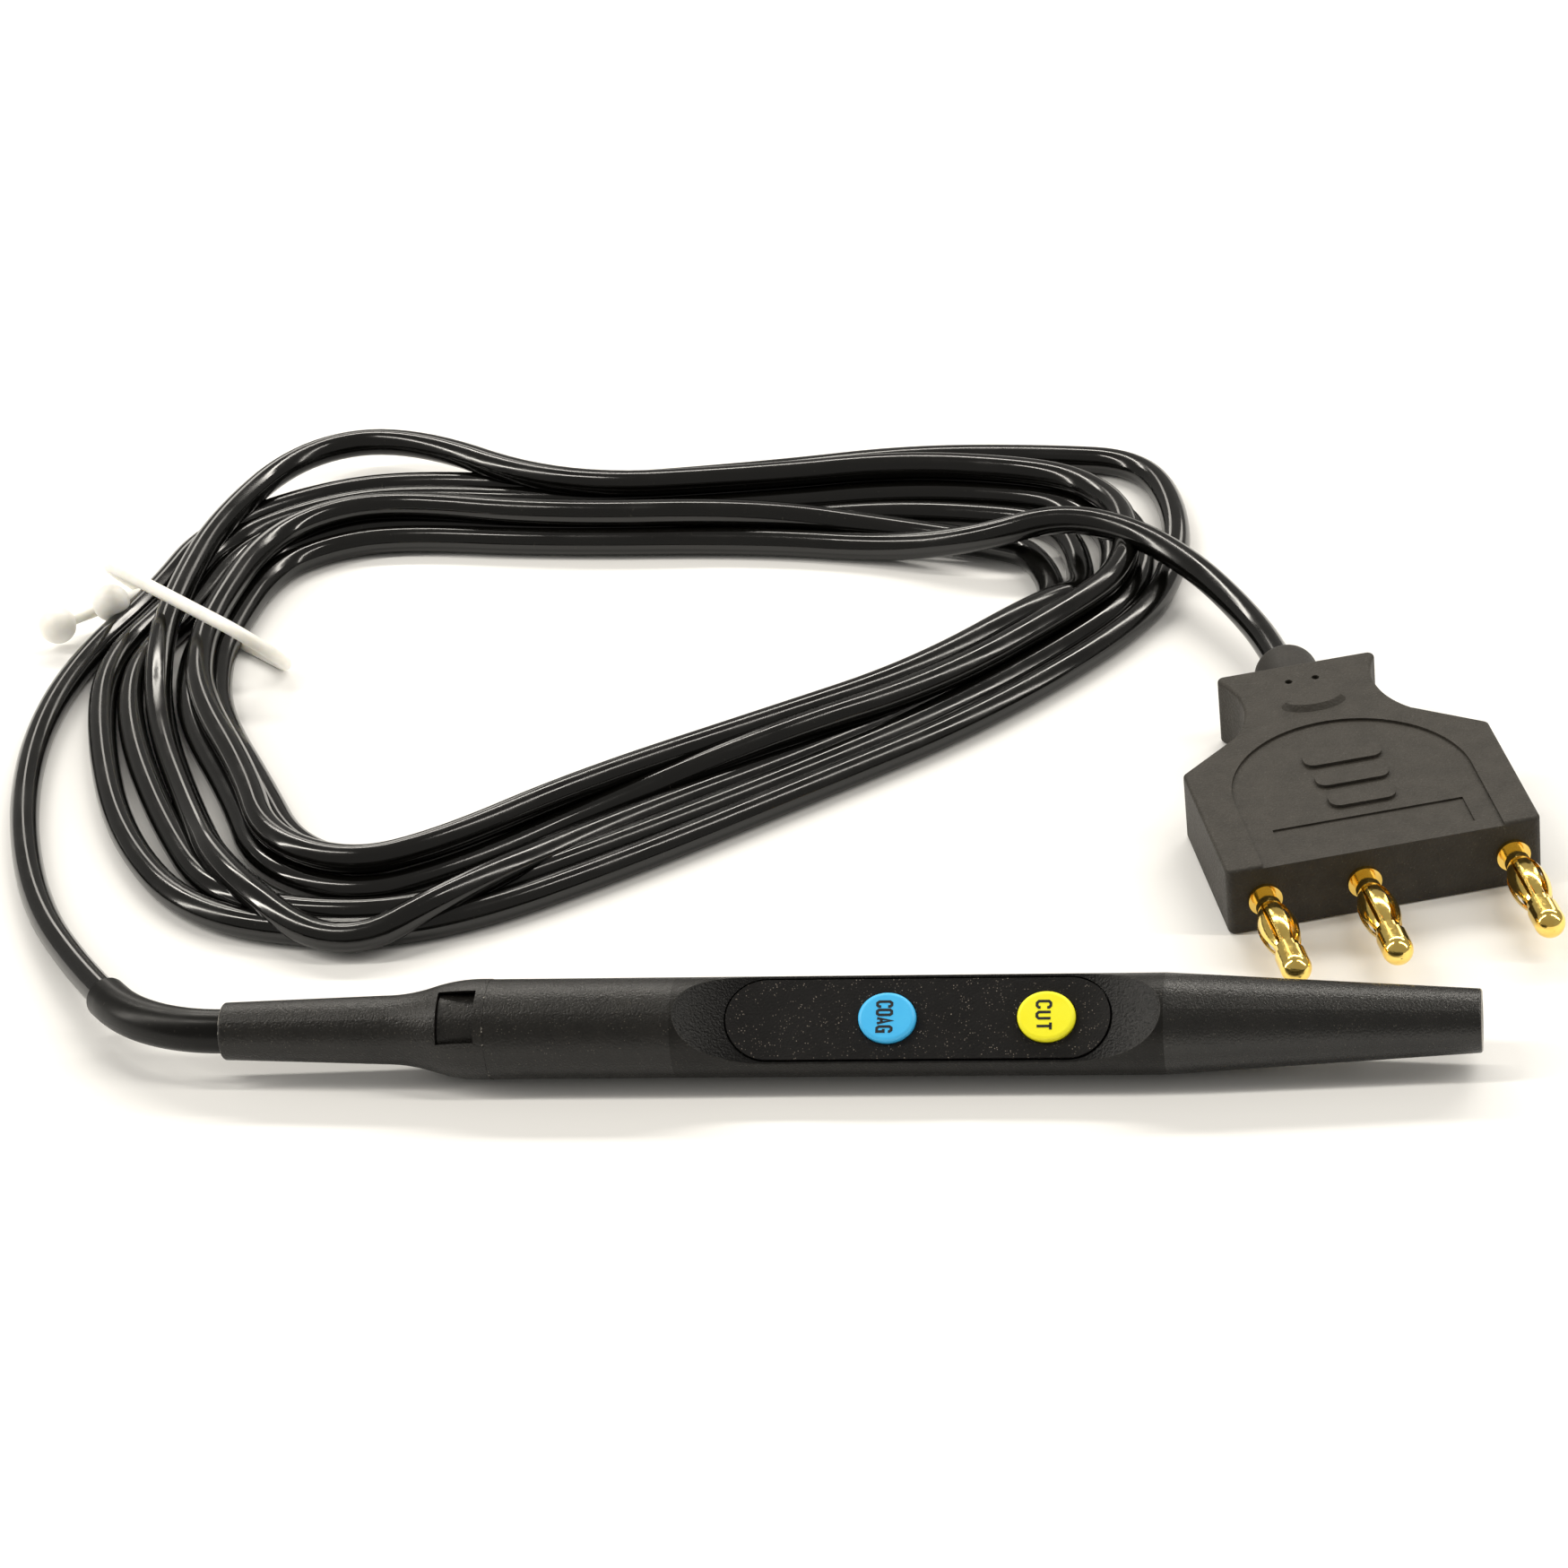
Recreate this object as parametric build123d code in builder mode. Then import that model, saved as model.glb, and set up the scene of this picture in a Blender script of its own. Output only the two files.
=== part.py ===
from build123d import *
from math import cos, pi, radians, sin, sqrt, tan
import os

# Hand-switching electrosurgical pencil with its cord, cord tie and three-pin plug.
# Millimetres. X runs along the pencil towards its nose, Z is up, everything lies on z = 0.
# The origin is the middle of the pencil's footprint.

os.makedirs("parts", exist_ok=True)

# Fits
seat_clear = 0.05  # between pieces that are pushed together
key_clear = 0.15  # round a key in its hole
pad_groove = 0.25  # open groove round the keypad
tab_clear = 0.15  # round the latch tab in its window

# Pencil, lengths from the cord end to the nose
sleeve_len = 34.0
barrel_len = 23.0
switch_len = 59.5
nose_len = 37.3

# Pencil, outside
barrel_dia = 12.2
sleeve_rear_dia = 7.1
sleeve_waist_dia = 8.45
sleeve_waist_len = 20.4
ogee_len = 12.4
lip_proud = 0.06
nose_tip_dia = 7.6
nose_lip_round = 0.4
sleeve_end_round = 0.35
wall = 1.2

# Joints between the shells
spigot_len = 5.0
spigot_wall = 1.0
rear_spigot_dia = 8.7
rear_spigot_len = 7.0
window_len = 4.85
window_width = 6.7
window_setback = 1.2
tab_dia = 10.2

# Panel with the two keys; the pencil is rolled so that the panel leans towards -Y
panel_lean = 37.0
panel_depth = 3.5
panel_run_out = 11.6
panel_end_land = 0.3
panel_wall = 1.2
pad_overrun = 5.4
pad_width = 10.0
pad_rise = 0.25
pad_inset = 0.6
key_pitch = 19.2
cut_key_from_pad_end = 7.65
key_len = 7.0
key_width = 6.2
key_rise = 0.9
key_round = 0.45
key_travel = 0.6
flange_lip = 0.65
flange_thick = 0.8
plunger_dia = 2.0
plunger_len = 0.4

# Switches and board under the panel
switch_side = 4.4
switch_corner = 0.4
switch_body_height = 1.2
switch_stem_dia = 2.2
switch_stem_height = 0.4
board_lead = 1.0
board_past_key = 5.5
board_width = 7.0
board_thick = 1.0

# Electrode socket in the nose
mouth_dia = 5.1
mouth_depth = 7.0
bulkhead_len = 10.0
socket_dia = 3.6
socket_bore = 2.4
socket_bore_depth = 14.0
socket_slot = 0.4
socket_slot_len = 6.0
socket_flange_dia = 6.4
socket_flange_thick = 1.0
socket_tail_len = 5.0
ring_from_front = 2.0
ring_width = 1.2
ring_thick = 0.3
ring_gap = 0.6

# Cord, ferrule, strain relief and conductors
cord_dia = 3.8
ferrule_dia = 5.2
ferrule_len = 3.5
ferrule_flange_dia = 6.0
ferrule_flange_thick = 0.8
relief_dia = 5.5
relief_bore_clear = 0.1
relief_inside_len = 7.0
relief_outside_run = 12.0
relief_flange_dia = 6.1
relief_flange_thick = 1.2
wire_dia = 1.2
wire_spread = 0.95
wire_bend = 3.0
wire_slope_len = 9.0
wire_end_gap = 1.5
wire_pad_len = 3.5

# Tied coil
coil_height = 8.5
coil_round = 3.0

# Cord tie
tie_band_dia = 1.9
tie_half_len = 18.2
tie_half_height = 5.9
tie_lean = 38.0
tie_clear = 0.2
tie_stem_dia = 1.7
tie_ball_dia = 5.4
tie_stem_angle = 225.0

# Plug body
plug_width = 40.2
plug_len = 45.0
plug_thick = 9.6
plug_side_from_back = 21.5
plug_shoulder_from_back = 15.0
plug_shoulder_width = 23.6
plug_waist_from_back = 8.3
plug_waist_width = 17.9
plug_neck_width = 22.7
plug_edge_round = 0.5
plug_corner_round = 0.9
plug_wall = 2.4
arch_width = 30.8
arch_depth = 0.35
rib_widths = (8.6, 9.5, 10.2)
rib_first = 10.1
rib_pitch = 4.95
rib_len = 3.4
rib_rise = 0.45
rib_corner = 1.4
rib_side_shift = 0.3
label_width = 24.5
label_len = 5.7
label_from_front = 2.2
label_depth = 0.25
bump_width = 10.0
bump_len = 5.6
bump_from_back = 10.2
bump_rise = 0.7
pinhole_dia = 1.0
pinhole_depth = 1.5
pinhole_pitch = 3.6
pinhole_from_back = 4.2

# Grommet where the cord enters the plug
boot_dia = 8.6
boot_len = 8.0
boot_round = 3.0
boot_plug_dia = 6.2
boot_plug_len = 4.0

# Plug pins, 4 mm spring pins at the three-pin spacing
pin_pitch_near = 12.7
pin_pitch_far = 19.05
pin_row_shift = 0.45
pin_len = 17.6
pin_tip_dia = 3.9
pin_tip_len = 4.6
pin_collar_dia = 4.3
pin_collar_len = 0.6
pin_neck_dia = 2.9
pin_neck_len = 1.3
pin_shaft_dia = 2.5
pin_tail_dia = 2.4
pin_tail_len = 11.0
cage_thick = 0.3
cage_rear_len = 1.0
cage_front_len = 1.5
cage_bulge_dia = 5.0
cage_leaves = 6
cage_slot = 0.85
insert_width = 36.0
insert_len = 7.0
insert_height = 4.6
conductor_gap = 0.05
funnel_from_front = 15.0

# Where the plug lies, by the middle of its front face, and how far it is turned
plug_x = 64.7
plug_y = 32.45
plug_turn = 16.5

# Cord route from inside the rear sleeve to the coil, chosen by hand. The first corner is on
# the pencil's axis and the last point lies inside the coil.
lead_corner_x = -87.2
lead_route = [
    (-101.0, 17.0, 3.6),
    (-113.0, 35.0, 1.95),
    (-121.0, 57.0, 1.95),
    (-124.4, 79.0, 1.95),
    (-121.5, 97.0, 1.95),
    (-111.0, 110.0, 2.3),
]

# Cord route from inside the coil to the plug. The last corner and the end are on the boot's axis.
tail_route = [
    (27.6, 114.2, 6.2),
    (36.5, 106.5, 6.3),
    (43.2, 96.8, 5.4),
]
tail_corner_past_boot = 4.5
tail_end_in_boot = 6.0

# Outline of the tied coil seen from above
coil_outside = [
    (-117.5, 92.0),
    (-116.0, 76.0),
    (-105.5, 48.0),
    (-89.5, 27.5),
    (-65.0, 19.5),
    (-50.0, 30.5),
    (-29.0, 43.0),
    (0.0, 62.0),
    (16.0, 82.5),
    (34.5, 102.0),
    (35.5, 118.0),
    (33.5, 137.0),
    (22.0, 144.5),
    (-8.0, 147.0),
    (-26.0, 136.0),
    (-56.0, 136.5),
    (-91.0, 156.5),
    (-116.5, 130.5),
    (-113.5, 113.5),
]
coil_inside = [
    (-98.5, 94.0),
    (-97.0, 82.0),
    (-87.0, 59.0),
    (-76.5, 48.5),
    (-64.0, 46.0),
    (-41.0, 57.5),
    (-12.0, 79.5),
    (2.5, 94.0),
    (17.0, 109.0),
    (20.5, 121.0),
    (8.0, 122.5),
    (-24.5, 120.0),
    (-54.5, 122.5),
    (-86.0, 124.0),
    (-96.0, 113.0),
]

# Middle of the tie's loop seen from above, the direction of its long side, and its two balls
tie_x = -105.2
tie_y = 101.7
tie_turn = -39.5
tie_balls = [(-119.6, 107.6, 4.4), (-126.6, 103.0, 3.6)]

# Places along the pencil
pencil_len = sleeve_len + barrel_len + switch_len + nose_len
rear_x = -pencil_len / 2
barrel_x = rear_x + sleeve_len
switch_x = barrel_x + barrel_len
nose_x = switch_x + switch_len
tip_x = nose_x + nose_len
socket_front_x = tip_x - mouth_depth
bulkhead_rear_x = socket_front_x - bulkhead_len
socket_rear_x = bulkhead_rear_x - socket_flange_thick - socket_tail_len
relief_start_x = rear_x + relief_inside_len + seat_clear + relief_flange_thick
cord_end_x = relief_start_x + seat_clear + ferrule_len

# Radii
barrel_r = barrel_dia / 2
lip_r = barrel_r + lip_proud
bore_r = barrel_r - wall
spigot_r = bore_r - seat_clear
spigot_bore_r = spigot_r - spigot_wall
rear_spigot_r = rear_spigot_dia / 2
socket_r = socket_dia / 2
relief_r = relief_dia / 2
cord_r = cord_dia / 2
wire_r = wire_dia / 2
tie_r = tie_band_dia / 2
axis_z = lip_r

# The panel's surface: a flat between two arcs that rise to the barrel
panel_radius = (panel_run_out**2 + panel_depth**2) / (2 * panel_depth)
panel_x1 = switch_x + panel_end_land + panel_run_out
panel_x2 = nose_x - panel_end_land - panel_run_out
panel_d = barrel_r - panel_depth
pad_x = (panel_x1 + panel_x2) / 2
pad_len = panel_x2 - panel_x1 + 2 * pad_overrun
cut_key_x = pad_x + pad_len / 2 - cut_key_from_pad_end
coag_key_x = cut_key_x - key_pitch

# Levels under the panel, as distances from the pencil's axis
key_top = panel_d + pad_rise + key_rise
flange_top = panel_d - panel_wall - seat_clear
flange_bottom = flange_top - flange_thick
plunger_bottom = flange_bottom - plunger_len
switch_top = plunger_bottom - key_travel - seat_clear
board_top = switch_top - switch_stem_height - switch_body_height
board_bottom = board_top - board_thick
board_x1 = panel_x1 - board_lead
board_x2 = cut_key_x + board_past_key
above_board_d = board_top + seat_clear + wire_r
under_board_d = board_bottom - seat_clear - wire_r
cutter_top = barrel_r + wall

# Directions on the pencil: x along it, d out of the panel, across to the panel's side
panel_out = Vector(0, -sin(radians(panel_lean)), cos(radians(panel_lean)))
panel_across = Vector(0, cos(radians(panel_lean)), sin(radians(panel_lean)))
pencil_middle = Vector(0, 0, axis_z)
pencil_axis = Axis(pencil_middle, (1, 0, 0))
panel_axis = Axis(pencil_middle, panel_out)
side_plane = Plane(origin=pencil_middle, x_dir=(1, 0, 0), z_dir=-panel_across)


def panel_plane(d):
    """Plane parallel to the panel, d from the pencil's axis."""
    return Plane(origin=pencil_middle + panel_out * d, x_dir=(1, 0, 0), z_dir=panel_out)


def cross_plane(x):
    """Plane across the pencil at x, facing the nose."""
    return Plane(origin=(x, 0, axis_z), x_dir=panel_across, z_dir=(1, 0, 0))


def pencil_point(x, d, across=0.0):
    """Point in the pencil by its place along, its distance out of the panel and across."""
    return Vector(x, 0, 0) + pencil_middle + panel_out * d + panel_across * across


def panel_d_at(offset, past):
    """Distance from the axis to the panel surface, moved out by offset, past the flat's end."""
    return panel_d + panel_radius - sqrt((panel_radius - offset) ** 2 - past**2)


def above_panel(offset, reach, top):
    """Outline in the side plane of all that lies above the panel surface moved out by offset."""
    half = reach / 2
    low = panel_d + offset
    end = panel_d_at(offset, reach)
    rear_arc = ThreePointArc(
        (panel_x1 - reach, end), (panel_x1 - half, panel_d_at(offset, half)), (panel_x1, low)
    )
    flat = Line((panel_x1, low), (panel_x2, low))
    front_arc = ThreePointArc(
        (panel_x2, low), (panel_x2 + half, panel_d_at(offset, half)), (panel_x2 + reach, end)
    )
    lid = Polyline(
        (panel_x2 + reach, end),
        (panel_x2 + reach, top),
        (panel_x1 - reach, top),
        (panel_x1 - reach, end),
    )
    return rear_arc, flat, front_arc, lid


def key_holes(grow):
    """Outlines of the two keys, grown by a clearance or a lip."""
    with Locations((coag_key_x, 0), (cut_key_x, 0)):
        Ellipse(key_len / 2 + grow, key_width / 2 + grow)


def corner_radii(points, closed=False):
    """Radius at each corner: 0.45 of the shorter run over the tangent of half the turn."""
    points = [Vector(*point) for point in points]
    if closed:
        points = [points[-1]] + points + [points[0]]
    radii = []
    for before, corner, after in zip(points, points[1:], points[2:]):
        run_in = corner - before
        run_out = after - corner
        half_turn = radians(run_in.get_angle(run_out)) / 2
        radii.append(0.45 * min(run_in.length, run_out.length) / tan(half_turn))
    return radii


def round_tube(path, radius):
    """Round solid of a radius along a path."""
    with BuildPart() as tube:
        with BuildSketch(Plane(origin=path @ 0, z_dir=path % 0)):
            Circle(radius)
        sweep(path=path)
    return tube.part


def write_wire(name, points):
    """Write one conductor along its points."""
    with BuildLine() as route:
        FilletPolyline(*points, radius=wire_bend)
    conductor = round_tube(route.line, wire_r)
    conductor.label = name
    export_step(conductor, "parts/" + name + ".step")


# Bore of the switch body, which stays below the panel's wall
ceiling_reach = panel_run_out + panel_end_land + seat_clear
with BuildPart() as switch_bore:
    with BuildSketch(cross_plane(switch_x)):
        Circle(bore_r)
    extrude(amount=switch_len)
    with BuildSketch(side_plane):
        with BuildLine():
            above_panel(-panel_wall, ceiling_reach, cutter_top)
        make_face()
    extrude(amount=barrel_r, both=True, mode=Mode.SUBTRACT)

# Pocket for the keypad: its outline grown by the groove, down to the pad's underside
with BuildPart() as pad_pocket:
    with BuildSketch(panel_plane(0)):
        with Locations((pad_x, 0)):
            SlotOverall(pad_len + 2 * pad_groove, pad_width + 2 * pad_groove)
    extrude(amount=barrel_r)
    with BuildSketch(side_plane):
        with BuildLine():
            above_panel(-pad_inset, panel_run_out, cutter_top)
        make_face()
    extrude(amount=barrel_r, both=True, mode=Mode.INTERSECT)

# Middle shell with the flat panel, whose ends rise to the barrel in two arcs
with BuildPart() as switch_body:
    with BuildSketch(cross_plane(switch_x)):
        Circle(barrel_r)
    extrude(amount=switch_len)
    with BuildSketch(side_plane):
        with BuildLine():
            above_panel(0, panel_run_out + panel_end_land / 2, cutter_top)
        make_face()
    extrude(amount=barrel_r, both=True, mode=Mode.SUBTRACT)
    add(switch_bore.part, mode=Mode.SUBTRACT)
    add(pad_pocket.part, mode=Mode.SUBTRACT)
    with BuildSketch(panel_plane(0)):
        key_holes(key_clear)
    extrude(amount=barrel_r, mode=Mode.SUBTRACT)
switch_body.part.label = "switch_body"
export_step(switch_body.part, "parts/switch_body.step")

# Keypad inlay, bent up at its ends with the panel
with BuildPart() as keypad_pad:
    with BuildSketch(panel_plane(0)):
        with Locations((pad_x, 0)):
            SlotOverall(pad_len, pad_width)
    extrude(amount=barrel_r)
    with BuildSketch(side_plane):
        with BuildLine():
            above_panel(seat_clear - pad_inset, panel_run_out, cutter_top)
        make_face()
    extrude(amount=barrel_r, both=True, mode=Mode.INTERSECT)
    with BuildSketch(side_plane):
        with BuildLine():
            above_panel(pad_rise, panel_run_out, cutter_top)
        make_face()
    extrude(amount=barrel_r, both=True, mode=Mode.SUBTRACT)
    with BuildSketch(panel_plane(0)):
        key_holes(key_clear)
    extrude(amount=barrel_r, mode=Mode.SUBTRACT)
keypad_pad.part.label = "keypad_pad"
export_step(keypad_pad.part, "parts/keypad_pad.step")

# Two keys, each held under the panel by its flange, and the switch that its plunger presses
for key_name, key_x in (("coag", coag_key_x), ("cut", cut_key_x)):
    with BuildPart() as key:
        with BuildSketch(panel_plane(flange_top)):
            with Locations((key_x, 0)):
                Ellipse(key_len / 2, key_width / 2)
        extrude(amount=key_top - flange_top)
        fillet(key.faces().sort_by(panel_axis)[-1].edges(), key_round)
        with BuildSketch(panel_plane(flange_bottom)):
            with Locations((key_x, 0)):
                Ellipse(key_len / 2 + flange_lip, key_width / 2 + flange_lip)
        extrude(amount=flange_thick)
        with BuildSketch(panel_plane(plunger_bottom)):
            with Locations((key_x, 0)):
                Circle(plunger_dia / 2)
        extrude(amount=plunger_len)
    key.part.label = key_name + "_button"
    export_step(key.part, "parts/" + key_name + "_button.step")

    with BuildPart() as switch:
        with BuildSketch(panel_plane(board_top)):
            with Locations((key_x, 0)):
                RectangleRounded(switch_side, switch_side, switch_corner)
        extrude(amount=switch_body_height)
        with BuildSketch(panel_plane(board_top + switch_body_height)):
            with Locations((key_x, 0)):
                Circle(switch_stem_dia / 2)
        extrude(amount=switch_stem_height)
    switch.part.label = key_name + "_switch"
    export_step(switch.part, "parts/" + key_name + "_switch.step")

# Circuit board, wedged across the bore
with BuildPart() as switch_board:
    with BuildSketch(panel_plane(board_bottom)):
        with Locations((board_x1, 0)):
            Rectangle(board_x2 - board_x1, board_width, align=(Align.MIN, Align.CENTER))
    extrude(amount=board_thick)
switch_board.part.label = "switch_board"
export_step(switch_board.part, "parts/switch_board.step")

# Nose: straight taper to the mouth, a bulkhead for the socket, and a spigot with a key flat
key_flat_d = panel_d_at(-panel_wall, panel_run_out + panel_end_land - spigot_len) - seat_clear
with BuildPart() as nose_cone:
    with BuildSketch(side_plane):
        with BuildLine():
            Polyline(
                (nose_x - spigot_len, spigot_bore_r),
                (nose_x - spigot_len, spigot_r),
                (nose_x, spigot_r),
                (nose_x, barrel_r),
                (tip_x, nose_tip_dia / 2),
                (tip_x, mouth_dia / 2),
                (socket_front_x, mouth_dia / 2),
                (socket_front_x, socket_r + seat_clear),
                (bulkhead_rear_x, socket_r + seat_clear),
                (bulkhead_rear_x, spigot_bore_r),
                close=True,
            )
        make_face()
    revolve(axis=pencil_axis)
    with BuildSketch(side_plane):
        with Locations((nose_x, key_flat_d)):
            Rectangle(spigot_len, barrel_r, align=(Align.MAX, Align.MIN))
    extrude(amount=barrel_r, both=True, mode=Mode.SUBTRACT)
    mouth_edges = nose_cone.edges().filter_by(GeomType.CIRCLE).group_by(Axis.X)[-1]
    fillet(mouth_edges.sort_by(SortBy.RADIUS)[-1], nose_lip_round)
nose_cone.part.label = "nose_cone"
export_step(nose_cone.part, "parts/nose_cone.step")

# Electrode socket: a bored tube, slotted at the front, with a flange and a solder tail
ring_x2 = socket_front_x - ring_from_front
ring_x1 = ring_x2 - ring_width
groove_r = socket_r - ring_thick
with BuildPart() as electrode_socket:
    with BuildSketch(side_plane):
        with BuildLine():
            Polyline(
                (socket_front_x, socket_bore / 2),
                (socket_front_x, socket_r),
                (ring_x2, socket_r),
                (ring_x2, groove_r),
                (ring_x1, groove_r),
                (ring_x1, socket_r),
                (bulkhead_rear_x - seat_clear, socket_r),
                (bulkhead_rear_x - seat_clear, socket_flange_dia / 2),
                (bulkhead_rear_x - socket_flange_thick, socket_flange_dia / 2),
                (bulkhead_rear_x - socket_flange_thick, socket_r),
                (socket_rear_x, socket_r),
                (socket_rear_x, 0),
                (socket_front_x - socket_bore_depth, 0),
                (socket_front_x - socket_bore_depth, socket_bore / 2),
                close=True,
            )
        make_face()
    revolve(axis=pencil_axis)
    for slot_plane in (panel_plane(0), side_plane):
        with BuildSketch(slot_plane):
            with Locations((socket_front_x, 0)):
                Rectangle(socket_slot_len, socket_slot, align=(Align.MAX, Align.CENTER))
        extrude(amount=socket_dia, both=True, mode=Mode.SUBTRACT)
electrode_socket.part.label = "electrode_socket"
export_step(electrode_socket.part, "parts/electrode_socket.step")

# Split ring in the socket's groove
with BuildPart() as socket_spring:
    with BuildSketch(cross_plane(ring_x1 + seat_clear)):
        Circle(socket_r)
        Circle(groove_r + seat_clear, mode=Mode.SUBTRACT)
        Rectangle(socket_r, ring_gap, align=(Align.MIN, Align.CENTER), mode=Mode.SUBTRACT)
    extrude(amount=ring_width - 2 * seat_clear)
socket_spring.part.label = "socket_spring"
export_step(socket_spring.part, "parts/socket_spring.step")

# Latch tab: the part of a larger ring that stands in the rear sleeve's window
tab_x = barrel_x - window_setback - tab_clear
with BuildPart() as latch_tab:
    with BuildSketch(cross_plane(tab_x)):
        Circle(tab_dia / 2)
        Circle(rear_spigot_r - spigot_wall / 2, mode=Mode.SUBTRACT)
    extrude(amount=2 * tab_clear - window_len)
    with BuildSketch(panel_plane(0)):
        with Locations((barrel_x, 0)):
            Rectangle(
                sleeve_len, window_width - 2 * tab_clear, align=(Align.MAX, Align.CENTER)
            )
    extrude(amount=barrel_r, mode=Mode.INTERSECT)

# Rear barrel: tube with a keyed spigot in front and the latch spigot behind
with BuildPart() as rear_barrel:
    with BuildSketch(side_plane):
        with BuildLine():
            Polyline(
                (barrel_x - rear_spigot_len, rear_spigot_r - spigot_wall),
                (barrel_x - rear_spigot_len, rear_spigot_r),
                (barrel_x, rear_spigot_r),
                (barrel_x, barrel_r),
                (switch_x, barrel_r),
                (switch_x, spigot_r),
                (switch_x + spigot_len, spigot_r),
                (switch_x + spigot_len, spigot_bore_r),
                (barrel_x, spigot_bore_r),
                (barrel_x, rear_spigot_r - spigot_wall),
                close=True,
            )
        make_face()
    revolve(axis=pencil_axis)
    with BuildSketch(side_plane):
        with Locations((switch_x, key_flat_d)):
            Rectangle(spigot_len, barrel_r, align=(Align.MIN, Align.MIN))
    extrude(amount=barrel_r, both=True, mode=Mode.SUBTRACT)
    add(latch_tab.part)
rear_barrel.part.label = "rear_barrel"
export_step(rear_barrel.part, "parts/rear_barrel.step")

# Rear sleeve: slim tail, double curve up to the barrel, raised lip, and the latch window
waist_x = rear_x + sleeve_waist_len
waist_r = sleeve_waist_dia / 2
ogee_x = waist_x + ogee_len
ogee_mid = ((waist_x + ogee_x) / 2, (waist_r + lip_r) / 2)
chamber_x = rear_x + relief_inside_len
chamber_r = relief_flange_dia / 2 + seat_clear
latch_bore_x = barrel_x - rear_spigot_len - seat_clear
with BuildPart() as rear_sleeve:
    with BuildSketch(side_plane):
        with BuildLine():
            Line((rear_x, sleeve_rear_dia / 2), (waist_x, waist_r))
            TangentArc((waist_x, waist_r), ogee_mid, tangent=(1, 0))
            TangentArc((ogee_x, lip_r), ogee_mid, tangent=(-1, 0))
            Polyline(
                (ogee_x, lip_r),
                (barrel_x, lip_r),
                (barrel_x, rear_spigot_r + seat_clear),
                (latch_bore_x, rear_spigot_r + seat_clear),
                (latch_bore_x, chamber_r),
                (chamber_x, chamber_r),
                (chamber_x, relief_r + seat_clear),
                (rear_x, relief_r + seat_clear),
                (rear_x, sleeve_rear_dia / 2),
            )
        make_face()
    revolve(axis=pencil_axis)
    with BuildSketch(panel_plane(0)):
        with Locations((barrel_x - window_setback, 0)):
            Rectangle(window_len, window_width, align=(Align.MAX, Align.CENTER))
    extrude(amount=cutter_top, mode=Mode.SUBTRACT)
    rear_edges = rear_sleeve.edges().filter_by(GeomType.CIRCLE).group_by(Axis.X)[0]
    fillet(rear_edges.sort_by(SortBy.RADIUS)[-1], sleeve_end_round)
rear_sleeve.part.label = "rear_sleeve"
export_step(rear_sleeve.part, "parts/rear_sleeve.step")

# Strain relief: a soft tube on the cord's first bend, with a flange inside the sleeve
lead_points = [(cord_end_x, 0, axis_z), (lead_corner_x, 0, axis_z)] + lead_route
lead_radii = corner_radii(lead_points)
relief_run = (Vector(*lead_points[2]) - Vector(*lead_points[1])).normalized()
relief_end = Vector(*lead_points[1]) + relief_run * relief_outside_run
with BuildLine() as relief_path:
    FilletPolyline(
        (relief_start_x, 0, axis_z), lead_points[1], relief_end, radius=lead_radii[:1]
    )
with BuildPart() as strain_relief:
    add(round_tube(relief_path.line, relief_r))
    with BuildSketch(cross_plane(relief_start_x)):
        Circle(relief_flange_dia / 2)
    extrude(amount=-relief_flange_thick)
    add(round_tube(relief_path.line, cord_r + relief_bore_clear), mode=Mode.SUBTRACT)
strain_relief.part.label = "strain_relief"
export_step(strain_relief.part, "parts/strain_relief.step")

# Ferrule crimped on the cord's end, stopped by the strain relief's flange
with BuildPart() as cord_ferrule:
    with BuildSketch(cross_plane(relief_start_x + seat_clear)):
        Circle(ferrule_flange_dia / 2)
    extrude(amount=ferrule_flange_thick)
    with BuildSketch(cross_plane(relief_start_x + seat_clear)):
        Circle(ferrule_dia / 2)
    extrude(amount=ferrule_len)
    with BuildSketch(cross_plane(relief_start_x + seat_clear)):
        Circle(cord_r + seat_clear)
    extrude(amount=ferrule_len, mode=Mode.SUBTRACT)
cord_ferrule.part.label = "cord_ferrule"
export_step(cord_ferrule.part, "parts/cord_ferrule.step")

# Conductors in the pencil: one under the board to the socket, two onto the board's end
wire_side = wire_spread * sin(pi / 3)
wire_up = wire_spread * cos(pi / 3)
write_wire(
    "active_wire",
    [
        pencil_point(cord_end_x, -wire_spread),
        pencil_point(board_x1 - wire_slope_len, -wire_spread),
        pencil_point(board_x1 - wire_end_gap, under_board_d),
        pencil_point(board_x2 + wire_end_gap, under_board_d),
        pencil_point(board_x2 + wire_slope_len, 0),
        pencil_point(socket_rear_x, 0),
    ],
)
for wire_name, side in (("coag_wire", -wire_side), ("cut_wire", wire_side)):
    write_wire(
        wire_name,
        [
            pencil_point(cord_end_x, wire_up, side),
            pencil_point(board_x1 - wire_slope_len / 2, wire_up, side),
            pencil_point(board_x1 - wire_end_gap / 2, above_board_d, side),
            pencil_point(board_x1 + wire_pad_len, above_board_d, side),
        ],
    )

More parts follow.
